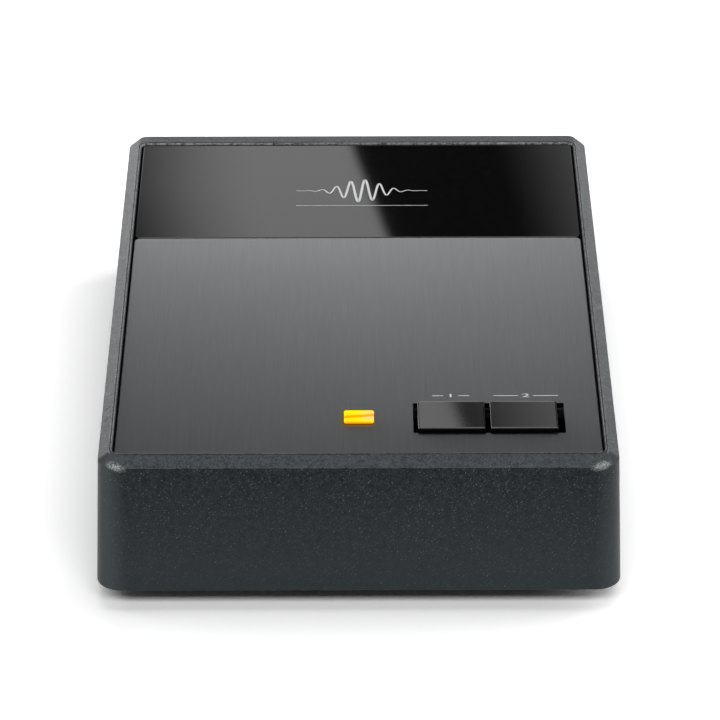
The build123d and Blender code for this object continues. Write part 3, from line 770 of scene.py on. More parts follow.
for vertex in trace.data.vertices:
    x = trace_left + (vertex.co.x + 0.5) * (trace_right - trace_left)
    height, half = trace_point(x)
    slope = (trace_point(x + slope_step)[0] - trace_point(x - slope_step)[0]) / (2 * slope_step)
    length = math.hypot(1.0, slope)
    side = 1.0 if vertex.co.y > 0 else -1.0
    vertex.co = (x - side * half * slope / length, trace_y + height + side * half / length, gloss_top)
bpy.ops.object.mode_set(mode="EDIT")
thicken(ink_thickness)
base_line = bar(trace_left, trace_right, base_line_y, base_line_y + base_line_depth, gloss_top)
ornament = join("groove_trace", [trace, base_line])
finish(ornament, silver_ink)
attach(ornament, "case")

# ---------------------------------------------------------------- adhesive sheets
# Double-sided tape, die cut, that holds both panels in the recess: a milky foam with fine open cells.
tape_dark = (0.52, 0.51, 0.47)
tape_light = (0.70, 0.69, 0.64)

tape, tree, output = new_material("foam_tape")
cells = grains(tree, 5000.0)["Grain"]
surface(tree, output, ramp(tree, cells, (0.3, tape_dark), (0.7, tape_light)), 0.75, cells, 0.02 * mm)
for name in ("trim_plate_adhesive", "gloss_panel_adhesive"):
    finish(nodes[name], tape)

# ---------------------------------------------------------------- indicator
# An amber lens that stands just proud of the trim plate. The lamp on the board lights it unevenly: the end of
# the light pipe shows as a thin dark line, and the front edge is deep orange. One corner is paler.
amber_lit = (1.0, 0.875, 0.001)
amber_pale = (0.99, 0.70, 0.20)
amber_warm = (1.0, 0.72, 0.004)
amber_line = (1.0, 0.41, 0.001)
amber_edge = (0.76, 0.25, 0.003)
# The next tone is painted shade, for the foot of the lens's front face.
amber_painted_shade = (0.10, 0.035, 0.002)
amber_unlit = (0.10, 0.035, 0.001)
lens_across = (-2.82 * mm, 3.02 * mm)      # the part of it that shows
lens_along = (-64.69 * mm, -59.79 * mm)
lens_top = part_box("indicator_lens")[1][2]
lens_edge = (lens_top - 0.15 * mm, lens_top - 0.3 * mm)
lens_foot = (lens_top - 0.38 * mm, lens_top - 0.48 * mm)
pipe_place = 0.415           # how far back in the lens the dark line starts at the left, of its whole length
pipe_slant = 0.15            # and how much further back it ends at the right

amber, tree, output = new_material("lit_amber")
x, y, z = at_point(tree, "SeparateXYZ").outputs
across = share(tree, x, *lens_across)
along = share(tree, y, *lens_along)
swirl = at_point(tree, "TexNoise", Scale=1 / (2.2 * mm), Detail=1.0).outputs["Fac"]
wobble = times(tree, minus(tree, swirl, 0.5), 0.10)
pipe = plus(tree, vary(tree, pipe_place, across, pipe_slant), wobble)
line = share(tree, apart(tree, along, pipe), 0.15, 0.07)
at_right = share(tree, plus(tree, across, wobble), 0.50, 0.78)
pale = times(tree, at_right, share(tree, along, 0.98, 0.72), share(tree, along, 0.05, 0.25))
warm = times(tree, share(tree, along, 0.35, 0.0), share(tree, across, 0.9, 0.2), 0.8)
edge = greatest(tree, share(tree, along, 0.03, -0.02), share(tree, z, *lens_edge))
# Painted shade at the foot of the lens's front face, where it meets the plate.
foot = share(tree, z, *lens_foot)
colour = amber_lit
tones = ((warm, amber_warm), (pale, amber_pale), (line, amber_line), (edge, amber_edge), (foot, amber_painted_shade))
for amount, tone in tones:
    colour = blend(tree, amount, colour, tone)
rough = vary(tree, 0.10, swirl, 0.06)
shader = surface(tree, output, amber_unlit, rough, Specular_IOR_Level=0.005, Emission_Strength=1.0)
tree.links.new(colour, shader.inputs["Emission Color"])
finish(nodes["indicator_lens"], amber)

# The lamp itself: a round-topped diode in cloudy resin, as bright as the lens above it.
diode_foot = 14.5 * mm
diode_top = 18.2 * mm
diode_dim = (0.35, 0.16, 0.01)
diode_lit = (1.0, 0.72, 0.10)
diode_resin = (0.8, 0.6, 0.3)

diode, tree, output = new_material("diode_resin")
x, y, z = at_point(tree, "SeparateXYZ").outputs
glow = ramp(tree, share(tree, z, diode_foot, diode_top), (0.0, diode_dim), (1.0, diode_lit))
shader = surface(tree, output, diode_resin, 0.25, Emission_Strength=0.8)
tree.links.new(glow, shader.inputs["Emission Color"])
finish(nodes["indicator_led"], diode)

# ---------------------------------------------------------------- push buttons
# Two moulded caps in polished black plastic, side by side in one slot, each on its own spring-loaded switch.
button_dark = (0.0022, 0.0022, 0.0026)
button_light = (0.0034, 0.0034, 0.0039)

button_black, tree, output = new_material("button_black")
handled = grains(tree, 1400.0)
colour = ramp(tree, handled["Grain"], (0.35, button_dark), (0.7, button_light))
surface(tree, output, colour, vary(tree, 0.03, handled["Cloud"], 0.035), handled["Grain"], 0.0008 * mm)
for name in ("mono_button", "filter_button"):
    finish(nodes[name], button_black)


def moulded(name, dark, light, count, roughness, depth=0.003 * mm, **values):
    """Moulded plastic, rubber or resin: its two tones, its grains per metre and how rough it is."""
    material, tree, output = new_material(name)
    grain = grains(tree, count)
    colour = ramp(tree, mixed(tree, grain["Grain"], grain["Cloud"], 0.5), (0.38, dark), (0.62, light))
    rough = vary(tree, roughness - 0.05, grain["Cloud"], 0.10)
    surface(tree, output, colour, rough, grain["Grain"], depth, **values)
    return material


def drawn_metal(name, dark, light, count, roughness, depth=0.001 * mm):
    """Plated or bright metal: its two tones, the grains per metre of its tarnish and how rough it is."""
    return moulded(name, dark, light, count, roughness, depth, Metallic=1.0)


# The switches under the caps: a black body on the board, a white plunger that carries the cap, and a spring
# of bright steel wire that pushes the cap up again.
switch_black = moulded("switch_black", (0.010, 0.010, 0.011), (0.018, 0.018, 0.020), 2600.0, 0.42)
plunger_white = moulded("plunger_white", (0.62, 0.61, 0.57), (0.74, 0.73, 0.69), 1800.0, 0.38)
spring_wire = drawn_metal("spring_wire", (0.42, 0.41, 0.39), (0.60, 0.59, 0.57), 5000.0, 0.24)
for switch in ("mono", "filter"):
    finish(nodes[f"{switch}_switch_body"], switch_black)
    finish(nodes[f"{switch}_switch_plunger"], plunger_white)

# The springs themselves: five turns of round wire.
coil_radius = 2.6 * mm
wire_radius = 0.2 * mm
coil_turns = 5
steps_in_turn = 24
for switch in ("mono", "filter"):
    node = f"{switch}_switch_spring"
    low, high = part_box(node)
    height = high[2] - low[2]
    clear_selection()
    bpy.ops.mesh.primitive_circle_add(
        vertices=8, radius=wire_radius, location=(coil_radius, 0.0, wire_radius),
        rotation=(math.pi / 2, 0.0, 0.0),
    )
    coil = bpy.context.object
    coil.name = f"{switch}_switch_coil"
    settle()
    screw = coil.modifiers.new("screw", "SCREW")
    screw.screw_offset = (height - 2 * wire_radius) / coil_turns
    screw.iterations = coil_turns
    screw.steps = screw.render_steps = steps_in_turn
    bpy.ops.object.modifier_apply(modifier=screw.name)
    bpy.ops.object.mode_set(mode="EDIT")
    bpy.ops.mesh.select_all(action="SELECT")
    bpy.ops.mesh.remove_doubles(threshold=1e-6)
    bpy.ops.mesh.select_all(action="DESELECT")
    bpy.ops.mesh.select_mode(type="EDGE")
    bpy.ops.mesh.select_non_manifold()
    bpy.ops.mesh.fill_holes(sides=0)
    turn_outwards()
    bpy.ops.object.shade_smooth_by_angle(angle=math.radians(60))
    coil.location = ((low[0] + high[0]) / 2, (low[1] + high[1]) / 2, low[2])
    settle()
    finish(coil, spring_wire)
    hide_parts(node)
    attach(coil, "case")
    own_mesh(coil)

# ---------------------------------------------------------------- circuit board
# Glass-fibre board with a green lacquer over its copper tracks, which show through as paler green lines. All
# the parts of the amplifier are soldered to it.
track_pitch = 2.54 * mm
track_width = 0.6 * mm
patch_size = 14 * mm         # of the patches in which the tracks run one way
lacquer_dark = (0.006, 0.060, 0.028)
lacquer_light = (0.009, 0.078, 0.036)
lacquer_on_track = (0.020, 0.150, 0.060)


def lines(tree, value, pitch, width):
    """1 on lines of that width, one every pitch, and 0 between them."""
    inside = maths(tree, "FRACT", maths(tree, "DIVIDE", value, pitch))
    return maths(tree, "LESS_THAN", apart(tree, inside, 0.5), 0.5 * width / pitch)


lacquer, tree, output = new_material("green_lacquer")
x, y, z = at_point(tree, "SeparateXYZ").outputs
patches = at_point(tree, "TexVoronoi", Scale=1 / patch_size, distance="CHEBYCHEV")
lot = add(tree, "SeparateColor")
tree.links.new(patches.outputs["Color"], lot.inputs[0])
lengthways = maths(tree, "GREATER_THAN", lot.outputs[0], 0.5)
wired = maths(tree, "LESS_THAN", lot.outputs[1], 0.7)
tracks_along = times(tree, lines(tree, x, track_pitch, track_width), lengthways)
tracks_across = times(tree, lines(tree, y, track_pitch, track_width), less(tree, lengthways))
tracks = times(tree, greatest(tree, tracks_across, tracks_along), wired)
weave = grains(tree, 3000.0)
green = ramp(tree, weave["Grain"], (0.35, lacquer_dark), (0.65, lacquer_light))
colour = blend(tree, tracks, green, lacquer_on_track)
rough = vary(tree, 0.26, weave["Cloud"], 0.08)
surface(tree, output, colour, rough, vary(tree, tracks, weave["Grain"], 0.1), 0.03 * mm)
finish(nodes["circuit_board"], lacquer)

# The parts on it: moulded film capacitors, sleeved electrolytic capacitors with a pale stripe and a scored
# bare top, and black chips and regulators with a matt, slightly speckled moulding.
film_red = moulded("film_capacitor_red", (0.30, 0.030, 0.016), (0.40, 0.045, 0.022), 1500.0, 0.34)
chip_black = moulded("chip_black", (0.012, 0.012, 0.012), (0.024, 0.024, 0.025), 5200.0, 0.55, 0.008 * mm)
finish(nodes["film_capacitors"], film_red)
for name in ("op_amps", "voltage_regulators"):
    finish(nodes[name], chip_black)

sleeve_dark = (0.010, 0.013, 0.034)
sleeve_light = (0.015, 0.019, 0.048)
stripe_colour = (0.42, 0.43, 0.44)
stripe_dashes = (2.2 * mm, 1.5 * mm)       # pitch and length of the dashes in a stripe
stripe_places = (14 * mm, 3.0 * mm)        # pitch and width of the stripes
aluminium = (0.62, 0.62, 0.63)
bare_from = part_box("electrolytic_capacitors")[1][2] - 0.15 * mm

sleeve, tree, output = new_material("capacitor_sleeve")
x, y, z = at_point(tree, "SeparateXYZ").outputs
film = grains(tree, 1200.0)["Grain"]
colour = ramp(tree, film, (0.35, sleeve_dark), (0.65, sleeve_light))
stripe = times(tree, lines(tree, z, *stripe_dashes), lines(tree, y, *stripe_places))
bare = maths(tree, "GREATER_THAN", z, bare_from)
colour = blend(tree, bare, blend(tree, stripe, colour, stripe_colour), aluminium)
shader = surface(tree, output, colour, 0.36, film, 0.006 * mm)
tree.links.new(times(tree, bare, 0.9), shader.inputs["Metallic"])
finish(nodes["electrolytic_capacitors"], sleeve)

# The board's own print: an outline round each capacitor, chip and regulator, in white ink.
legend_dark = (0.50, 0.51, 0.52)
legend_light = (0.60, 0.61, 0.62)
stroke = 0.22 * mm
ring_steps = 40
full_turn = 360.0

legend_ink, tree, output = new_material("legend_ink")
speckle = grains(tree, 8000.0)["Grain"]
surface(tree, output, ramp(tree, speckle, (0.3, legend_dark), (0.7, legend_light)), 0.48, speckle, 0.003 * mm)


def ring(x, y, radius, width, start=0.0, end=full_turn):
    """A ring or arc of ink, lying at height 0."""
    clear_selection()
    bpy.ops.mesh.primitive_plane_add(size=1.0)
    piece = bpy.context.object
    piece.scale = (width, ink_thickness, 1.0)
    piece.rotation_euler = (math.pi / 2, 0.0, 0.0)
    piece.location = (radius, 0.0, 0.0)
    settle()
    bpy.ops.object.mode_set(mode="EDIT")
    bpy.ops.mesh.select_all(action="SELECT")
    full = end - start >= full_turn
    if full:
        bpy.ops.mesh.delete(type="ONLY_FACE")     # a full ring has no end faces
        bpy.ops.mesh.select_all(action="SELECT")
    bpy.ops.mesh.spin(
        steps=ring_steps, angle=math.radians(end - start), center=(0, 0, 0), axis=(0, 0, 1),
        use_auto_merge=False,
    )
    turn_outwards(merge=1e-6 if full else 0.0)
    piece.rotation_euler = (0.0, 0.0, math.radians(start))
    piece.location = (x, y, ink_thickness / 2)
    settle()
    return piece


def outline(x, y, width, depth):
    """A frame of ink round a rectangle, lying at height 0."""
    piece = plate("outline", x - width / 2, x + width / 2, y - depth / 2, y + depth / 2, 0.0)
    bpy.ops.mesh.inset(thickness=stroke, depth=0.0)
    bpy.ops.mesh.delete(type="FACE")
    thicken(ink_thickness)
    return piece


def grid(columns, rows):
    """The places, in metres, of parts that stand in columns and rows, given in mm."""
    return [(x * mm, y * mm) for x in columns for y in rows]


board_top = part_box("circuit_board")[1][2]
capacitor_places = grid((-26, -14, -2, 10), (-2, 10))
capacitor_outline = (8.2 * mm, 5.5 * mm)
chip_places = grid((-8, 8), (-20, -36))
chip_outline = (10.8 * mm, 9.4 * mm)
first_leg = (-6.1 * mm, -3.8 * mm)       # the dot beside each chip's first leg, from the chip's middle
first_leg_ring = (0.2 * mm, 0.3 * mm)    # its radius and width
regulator_places = grid((-30, -16), (34,))
regulator_outline = (11.0 * mm, 5.5 * mm)
electrolytic_places = grid((-28, -18, 24, 33), (-16, -28))
electrolytic_radius = 3.6 * mm

parts = [outline(x, y, *capacitor_outline) for x, y in capacitor_places]
for x, y in chip_places:
    parts.append(outline(x, y, *chip_outline))
    parts.append(ring(x + first_leg[0], y + first_leg[1], *first_leg_ring))
parts += [outline(x, y, *regulator_outline) for x, y in regulator_places]
parts += [ring(x, y, electrolytic_radius, stroke) for x, y in electrolytic_places]
board_print = join("board_print", parts)
board_print.location = (0.0, 0.0, board_top)
settle()
finish(board_print, legend_ink)
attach(board_print, "case")


def select_faces(piece, chosen):
    """In edit mode, selects the faces of the piece for which chosen(centre) is true."""
    bpy.ops.mesh.select_all(action="DESELECT")
    bpy.ops.mesh.select_mode(type="FACE")
    bpy.ops.object.mode_set(mode="OBJECT")
    for face in piece.data.polygons:
        face.select = chosen(face.center)
    bpy.ops.object.mode_set(mode="EDIT")


def copy_to(piece, name, places, turn=0.0):
    """Copies of the piece, each with its own mesh, turned about z and moved to the places."""
    copies = []
    for x, y in places:
        copy = piece.copy()
        copy.data = piece.data.copy()
        copy.name = name
        bpy.context.scene.collection.objects.link(copy)
        pick(copy)
        copy.rotation_euler = (0.0, 0.0, turn)
        copy.location = (x, y, 0.0)
        settle()
        copies.append(copy)
    return copies


# Resistors: carbon film under a pale beige coat with four coloured rings, each on two tinned wires that are
# bent down into the board.
resistor_pitch = 14 * mm         # from column to column
resistor_row = 4 * mm
resistor_places = grid((24, 38), (0, 4, 8, 12)) + grid((-32, -18, -4, 10), (19, 23))
resistor_height = 1.35 * mm      # of its middle line, over the board
waist_radius = 0.82 * mm
waist_half = 1.3                 # in mm, as the steps
body_steps = ((0.25, 1.22), (0.95, 1.0), (0.30, 0.72))      # length in mm and growth of each step of an end
wire_steps = ((0.0, 0.36), (0.8, 1.0))
wire_bend = 0.6 * mm
body_half = (waist_half + sum(length for length, growth in body_steps)) * mm
margin = 0.01 * mm               # within which a face or edge is taken as lying at a place

clear_selection()
bpy.ops.mesh.primitive_cylinder_add(
    vertices=14, radius=waist_radius, depth=2 * waist_half * mm, rotation=(0.0, math.pi / 2, 0.0),
    location=(0.0, 0.0, board_top + resistor_height),
)
resistor = bpy.context.object
resistor.name = "resistors"
settle()
bpy.ops.object.mode_set(mode="EDIT")
for side in (-1, 1):
    reached = waist_half * mm
    select_faces(resistor, lambda centre: centre.x * side > reached - margin)
    for length, growth in (*body_steps, *wire_steps):
        bpy.ops.mesh.extrude_region_move(TRANSFORM_OT_translate={"value": (side * length * mm, 0.0, 0.0)})
        reached += length * mm
        end = (side * reached, 0.0, board_top + resistor_height)
        bpy.ops.transform.resize(value=(1.0, growth, growth), center_override=end)
    bend = (side * reached, 0.0, board_top + resistor_height - wire_bend)
    bpy.ops.mesh.spin(
        steps=4, angle=side * math.pi / 2, center=bend, axis=(0.0, 1.0, 0.0), use_auto_merge=False,
    )
    down = (0.0, 0.0, wire_bend - resistor_height)
    bpy.ops.mesh.extrude_region_move(TRANSFORM_OT_translate={"value": down})
turn_outwards(merge=1e-6)

coat_dark = (0.42, 0.31, 0.19)
coat_light = (0.50, 0.38, 0.24)
ring_pitch = 0.9 * mm
ring_half = 0.24 * mm
last_ring = 2.2 * mm
ring_colours = (
    (0.0, (0.060, 0.022, 0.008)), (0.25, (0.010, 0.010, 0.010)), (0.45, (0.36, 0.020, 0.012)),
    (0.65, (0.50, 0.16, 0.010)), (0.82, (0.16, 0.030, 0.180)),
)

beige, tree, output = new_material("resistor_coat")
x, y, z = at_point(tree, "SeparateXYZ").outputs
turns = maths(tree, "DIVIDE", minus(tree, x, resistor_places[0][0]), resistor_pitch)
column = maths(tree, "ROUND", turns)
along = times(tree, minus(tree, turns, column), resistor_pitch)
number = maths(tree, "ROUND", maths(tree, "DIVIDE", along, ring_pitch))
off_ring = apart(tree, along, times(tree, number, ring_pitch))
before_end = maths(tree, "LESS_THAN", along, last_ring)
on_ring = times(tree, maths(tree, "LESS_THAN", off_ring, ring_half), before_end)
row = maths(tree, "ROUND", maths(tree, "DIVIDE", y, resistor_row))
key = add(tree, "CombineXYZ")
for socket, value in zip(key.inputs, (number, row, column)):
    tree.links.new(value, socket)
drawn = at_point(tree, "TexWhiteNoise", key.outputs[0]).outputs["Value"]
film = grains(tree, 1800.0)["Grain"]
coat = ramp(tree, film, (0.35, coat_dark), (0.65, coat_light))
rings = ramp(tree, drawn, *ring_colours, between="CONSTANT")
surface(tree, output, blend(tree, on_ring, coat, rings), 0.38, film, 0.004 * mm)
tinned = drawn_metal("tinned_wire", (0.50, 0.50, 0.49), (0.68, 0.68, 0.67), 3000.0, 0.30)
resistor.data.materials.append(beige)
resistor.data.materials.append(tinned)
for face in resistor.data.polygons:
    face.material_index = 1 if abs(face.center.x) > body_half - margin else 0
bpy.ops.object.shade_smooth_by_angle(angle=math.radians(40))
copies = copy_to(resistor, "resistor", resistor_places[1:])
resistor.location = (*resistor_places[0], 0.0)
pick(resistor)
settle()
resistors = join("resistors", [resistor, *copies])
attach(resistors, "case")

# The legs of the chips: tinned strip, cut wide at the shoulder and narrow where it goes into the board.
shoulder_height = 1.9 * mm
shoulder_half = 0.65 * mm
leg_root = 3.12 * mm             # from the middle of the chip
leg_turn = 3.5 * mm
leg_thickness = 0.25 * mm
leg_pitch = 2.54 * mm
legs_in_row = 4
# How far each step of a leg goes out and up, in mm, and how many times as wide it ends.
leg_steps = ((0.12, -0.12, 1.0), (0.0, -0.75, 1.0), (0.0, -0.15, 0.45), (0.0, -0.88, 1.0))

leg = plate("chip_leg", -shoulder_half, shoulder_half, leg_root, leg_turn, board_top + shoulder_height)
bpy.ops.mesh.select_all(action="DESELECT")
bpy.ops.mesh.select_mode(type="EDGE")
bpy.ops.object.mode_set(mode="OBJECT")
for edge in leg.data.edges:
    edge.select = all(leg.data.vertices[index].co.y > leg_turn - margin for index in edge.vertices)
bpy.ops.object.mode_set(mode="EDIT")
for out, up, widening in leg_steps:
    bpy.ops.mesh.extrude_region_move(TRANSFORM_OT_translate={"value": (0.0, out * mm, up * mm)})
    bpy.ops.transform.resize(value=(widening, 1.0, 1.0), center_override=(0.0, 0.0, 0.0))
bpy.ops.object.mode_set(mode="OBJECT")
strip = leg.modifiers.new("strip", "SOLIDIFY")
strip.thickness = leg_thickness
strip.offset = 1.0
bpy.ops.object.modifier_apply(modifier=strip.name)
copies = []
for x, y in chip_places:
    row = [(x + (index - (legs_in_row - 1) / 2) * leg_pitch, y) for index in range(legs_in_row)]
    copies += copy_to(leg, "chip_leg", row) + copy_to(leg, "chip_leg", row, math.pi)
bpy.data.objects.remove(leg)
chip_legs = join("chip_legs", copies)
finish(chip_legs, tinned)
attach(chip_legs, "case")

# ---------------------------------------------------------------- gain switches
# Two red switch blocks with four white sliders each, on the underside of the board, set through the windows
# in the base.
sliders = 4
gain_red = moulded("gain_switch_red", (0.32, 0.016, 0.010), (0.45, 0.026, 0.016), 2200.0, 0.36)
slider_white = moulded("slider_white", (0.66, 0.65, 0.62), (0.80, 0.79, 0.76), 2600.0, 0.36)
for side in ("left", "right"):
    finish(nodes[f"{side}_gain_switch_body"], gain_red)
    for number in range(1, sliders + 1):
        finish(nodes[f"{side}_gain_slider_{number}"], slider_white)

# ---------------------------------------------------------------- rear panel
# Folded steel sheet with a fine black powder coat, screwed to the casting. The sockets, the ground post and
# the power jack come through it.
def powder_coat(name, dark, light, depth):
    """Powder coat: an even orange-peel skin with a fine sparkle of its own."""
    material, tree, output = new_material(name)
    peel = grains(tree, 2400.0)["Grain"]
    dust = grains(tree, 9000.0)["Grain"]
    colour = ramp(tree, dust, (0.36, dark), (0.66, light))
    surface(tree, output, colour, vary(tree, 0.36, peel, 0.16), peel, depth)
    return material


rear_black = powder_coat("rear_powder_coat", (0.0075, 0.0080, 0.0085), (0.0165, 0.0172, 0.0180), 0.02 * mm)
finish(nodes["rear_panel"], rear_black)

# ---------------------------------------------------------------- phono sockets
# A gold-plated turned barrel round a coloured insulator, white for left and red for right, with the sprung
# contact deep in its bore and a black moulded body on the board.
socket_z = 20.1 * mm
input_x = (34.5 * mm, 20.5 * mm)       # left and right
output_x = (-5.5 * mm, -19.5 * mm)
tool_pitch = 0.16 * mm
stain_grains = 900.0         # per metre
gold_dark = (0.66, 0.43, 0.13)
gold_light = (0.86, 0.62, 0.25)


def turned(name, centre_x, roughness):
    """Gold-plated metal turned on a lathe, with the tool's fine rings round the axis of that part."""
    material, tree, output = new_material(name)
    x, y, z = at_point(tree, "SeparateXYZ").outputs
    squares = [times(tree, off, off) for off in (minus(tree, x, centre_x), minus(tree, z, socket_z))]
    place = add(tree, "CombineXYZ")
    tree.links.new(maths(tree, "SQRT", plus(tree, *squares)), place.inputs["X"])
    tree.links.new(y, place.inputs["Y"])
    noise = at_point(tree, "TexNoise", place.outputs[0], Scale=1 / tool_pitch, Detail=2.0, Roughness=0.6)
    rings = noise.outputs["Fac"]
    stain = grains(tree, stain_grains)
    colour = ramp(tree, mixed(tree, rings, stain["Grain"], 0.5), (0.36, gold_dark), (0.62, gold_light))
    rough = vary(tree, roughness, stain["Cloud"], 0.08)
    surface(tree, output, colour, rough, rings, 0.0015 * mm, Metallic=1.0)
    return material


insulator_white = moulded("insulator_white", (0.62, 0.61, 0.58), (0.74, 0.73, 0.70), 1500.0, 0.34)
insulator_red = moulded("insulator_red", (0.34, 0.012, 0.012), (0.46, 0.020, 0.018), 1500.0, 0.34)
socket_black = moulded("socket_black", (0.010, 0.010, 0.011), (0.019, 0.019, 0.021), 2400.0, 0.40)
sockets = (
    ("left_input", input_x[0], insulator_white), ("right_input", input_x[1], insulator_red),
    ("left_output", output_x[0], insulator_white), ("right_output", output_x[1], insulator_red),
)
for name, x, insulator in sockets:
    finish(nodes[f"{name}_barrel"], turned(f"{name}_gold", x, 0.14))
    finish(nodes[f"{name}_insulator"], insulator)
    finish(nodes[f"{name}_socket_body"], socket_black)
finish(nodes["socket_contacts"], drawn_metal("contact_gold", gold_dark, gold_light, 2200.0, 0.22))

# ---------------------------------------------------------------- power jack
# A black moulded barrel jack on the board, its collar level with the rear panel, with a plated centre pin.
jack_x = -34.0 * mm
jack_black = moulded("jack_black", (0.009, 0.009, 0.010), (0.017, 0.017, 0.019), 2000.0, 0.36)
finish(nodes["dc_jack_body"], jack_black)
finish(nodes["dc_jack_pin"], turned("pin_gold", jack_x, 0.16))

# ---------------------------------------------------------------- ground post
# A gold-plated brass stud with a collar, held by a lock nut inside; outside, a washer and a knurled thumb
# nut clamp the earth lead.
ground_x = 7.5 * mm
ground_gold = turned("ground_gold", ground_x, 0.17)
for name in ("ground_lock_nut", "ground_washer", "ground_thumb_nut"):
    finish(nodes[name], ground_gold)

panel_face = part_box("rear_panel")[1][1]
thread_pitch = 0.7 * mm
thread_depth = 0.35 * mm
collar_thickness = 1.55 * mm
# The thread's grooves are painted darker, as shade.
gold_shaded_in_thread = tuple(0.45 * part for part in gold_dark)

threaded, tree, output = new_material("threaded_gold")
x, y, z = at_point(tree, "SeparateXYZ").outputs
angle = maths(tree, "ARCTAN2", minus(tree, z, socket_z), minus(tree, x, ground_x))
turns = plus(tree, maths(tree, "DIVIDE", y, thread_pitch), maths(tree, "DIVIDE", angle, 2 * math.pi))
crest = apart(tree, maths(tree, "FRACT", turns), 0.5)
stain = grains(tree, stain_grains)
# Painted shade: the thread is darker down in its grooves than on its crests.
colour = ramp(tree, vary(tree, crest, stain["Grain"], 0.5), (0.2, gold_shaded_in_thread), (0.7, gold_light))
beyond_collar = maths(tree, "GREATER_THAN", y, panel_face + collar_thickness)
colour = blend(tree, beyond_collar, gold_light, colour)
rough = vary(tree, 0.18, stain["Cloud"], 0.08)
surface(tree, output, colour, rough, times(tree, crest, beyond_collar), thread_depth, Metallic=1.0)
finish(nodes["ground_stud"], threaded)

# ---------------------------------------------------------------- rear legends
# Marks printed on the rear panel in pale grey ink. They are drawn as seen from behind, with x to the viewer's
# right and y upwards. Each pair of sockets has its letters, and between them an arrow in a line, which points
# up for in and down for out.
facing_back = (math.pi / 2, 0.0, math.pi)
legend_z = 26.9 * mm
legend_height = 1.6 * mm
legend_width = 1.25          # times as wide as the plain letter form
arrow_half = 0.55 * mm
arrow_half_width = 0.6 * mm
arrow_tip = 0.04             # how wide the tip stays, of the whole width
line_inner = 1.3 * mm        # where the line on each side of the arrow starts and ends, from its middle
line_outer = 5.4 * mm


def print_on_rear(piece):
    """Stands a flat mark, drawn in x and y as seen from behind, up against the rear panel."""
    pick(piece)
    piece.rotation_euler = facing_back
    piece.location = (0.0, panel_face, 0.0)
    settle()
    finish(piece, legend_ink)
    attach(piece, "case")


def mark_x(x):
    """A place on the rear panel, as seen from behind."""
    return -x


def arrow(x, y, half_length, half_width):
    """A triangle of ink that points towards the larger y, or the smaller where its length is negative."""
    piece = plate("arrow", x - half_width, x + half_width, y - abs(half_length), y + abs(half_length), 0.0)
    bpy.ops.object.mode_set(mode="OBJECT")
    for vertex in piece.data.vertices:
        if (vertex.co.y - y) * half_length > 0:
            vertex.co.x = x + (vertex.co.x - x) * arrow_tip
    bpy.ops.object.mode_set(mode="EDIT")
    thicken(ink_thickness)
    return piece


pairs = (("input_legend", input_x, arrow_half), ("output_legend", output_x, -arrow_half))
for name, letters, length in pairs:
    parts = []
    for x, text in zip(letters, ("L", "R")):
        parts.append(letter(text, mark_x(x), legend_z, ink_thickness / 2, legend_height, legend_width))
    middle = mark_x((letters[0] + letters[1]) / 2)
    parts.append(arrow(middle, legend_z, length, arrow_half_width))
    parts += rules(middle, legend_z, line_inner, line_outer, stroke)
    print_on_rear(join(name, parts))

# The sign for ground: a stem, and three bars under it that get shorter downwards.
ground_mark_x = mark_x(ground_x)
stem_foot = legend_z - 0.1 * mm
stem_top = legend_z + 1.0 * mm
ground_bars = (1.1 * mm, 0.7 * mm, 0.3 * mm)      # half their lengths
ground_bar_pitch = 0.45 * mm
parts = [bar(ground_mark_x - stroke / 2, ground_mark_x + stroke / 2, stem_foot, stem_top)]
for index, half in enumerate(ground_bars):
    top = stem_foot - ground_bar_pitch * index
    parts.append(bar(ground_mark_x - half, ground_mark_x + half, top - stroke, top))
print_on_rear(join("ground_legend", parts))

# The polarity of the power jack: a dot for the pin in the open ring of the barrel, each on a line to its
# sign, plus or minus.
jack_mark_x = mark_x(jack_x)
barrel_radius = 0.75 * mm
barrel_open = 140.0          # degrees, to which the ring goes from the right at both sides
pin_radius = 0.14 * mm
pin_width = 0.26 * mm
sign_off = 2.4 * mm
sign_radius = 0.65 * mm
sign_half = 0.3 * mm         # half the length of the strokes of plus and minus, and half their width
sign_stroke_half = 0.08 * mm
pin_line = 0.3 * mm          # where the lines start, from the middle
barrel_line = 0.85 * mm


def level_bar(left, right, half=stroke / 2):
    """A bar of ink between two places to the right of the jack's middle, on the line of the legends."""
    return bar(jack_mark_x + left, jack_mark_x + right, legend_z - half, legend_z + half)


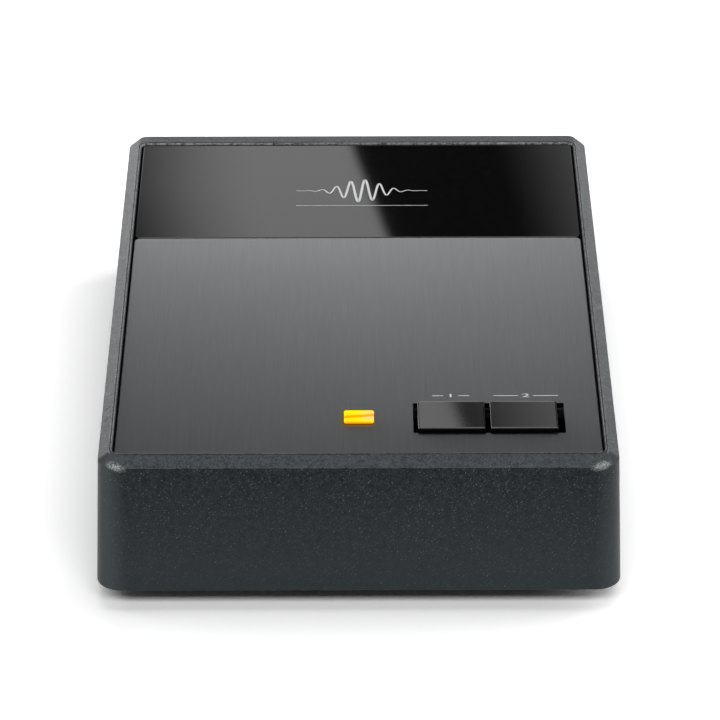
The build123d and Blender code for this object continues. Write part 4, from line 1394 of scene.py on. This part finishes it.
parts = [
    ring(jack_mark_x, legend_z, barrel_radius, stroke, -barrel_open, barrel_open),
    ring(jack_mark_x, legend_z, pin_radius, pin_width),
    level_bar(pin_line, sign_off - sign_radius),
    level_bar(sign_radius - sign_off, -barrel_line),
]
for side in (-1, 1):
    parts.append(ring(jack_mark_x + side * sign_off, legend_z, sign_radius - stroke / 2, stroke))
    parts.append(level_bar(side * sign_off - sign_half, side * sign_off + sign_half, sign_stroke_half))
parts.append(level_bar(sign_off - sign_stroke_half, sign_off + sign_stroke_half, sign_half))
print_on_rear(join("power_legend", parts))

# ---------------------------------------------------------------- base and screws
# The base is powder-coated steel sheet, screwed to the casting from below through the rubber feet. All the
# screws are pan heads in blackened steel.
base_black = powder_coat("base_powder_coat", (0.0060, 0.0062, 0.0066), (0.0130, 0.0134, 0.0140), 0.03 * mm)
finish(nodes["base_plate"], base_black)
screw_black = drawn_metal("blackened_steel", (0.030, 0.030, 0.032), (0.085, 0.084, 0.084), 3800.0, 0.34)
for name in ("base_screws", "board_screws", "rear_panel_screws"):
    finish(nodes[name], screw_black)
rubber = moulded("foot_rubber", (0.0055, 0.0055, 0.0056), (0.0105, 0.0105, 0.0106), 3000.0, 0.75, 0.012 * mm)
for side in ("left", "right"):
    for end in ("front", "rear"):
        finish(nodes[f"{side}_{end}_foot"], rubber)

# Printed on its underside: which channel each window is for, the numbers of its four sliders, and the side
# on which they are on.
base_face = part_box("base_plate")[0][2]
facing_down = (math.pi, 0.0, 0.0)
number_print = (4.5 * mm, 1.3 * mm, 1.0)     # y, height, and how many times as wide as the plain letter form
letter_print = (1.4 * mm, 2.2 * mm, 1.2)
on_print = (17.6 * mm, 1.4 * mm, 1.1)


def base_letter(text, x, y, height, widen):
    """A letter on the underside of the base."""
    return letter(text, x, y, base_face - ink_thickness / 2, height, widen, facing_down)


parts = []
for side, text in (("left", "L"), ("right", "R")):
    boxes = [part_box(f"{side}_gain_slider_{number}") for number in range(1, sliders + 1)]
    middles = [(low[0] + high[0]) / 2 for low, high in boxes]
    for number, x in enumerate(middles, 1):
        parts.append(base_letter(str(number), x, *number_print))
    middle = sum(middles) / sliders
    parts.append(base_letter("ON", middle, *on_print))
    parts.append(base_letter(text, middle, *letter_print))
gain_legend = join("gain_legend", parts)
finish(gain_legend, legend_ink)
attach(gain_legend, "case")
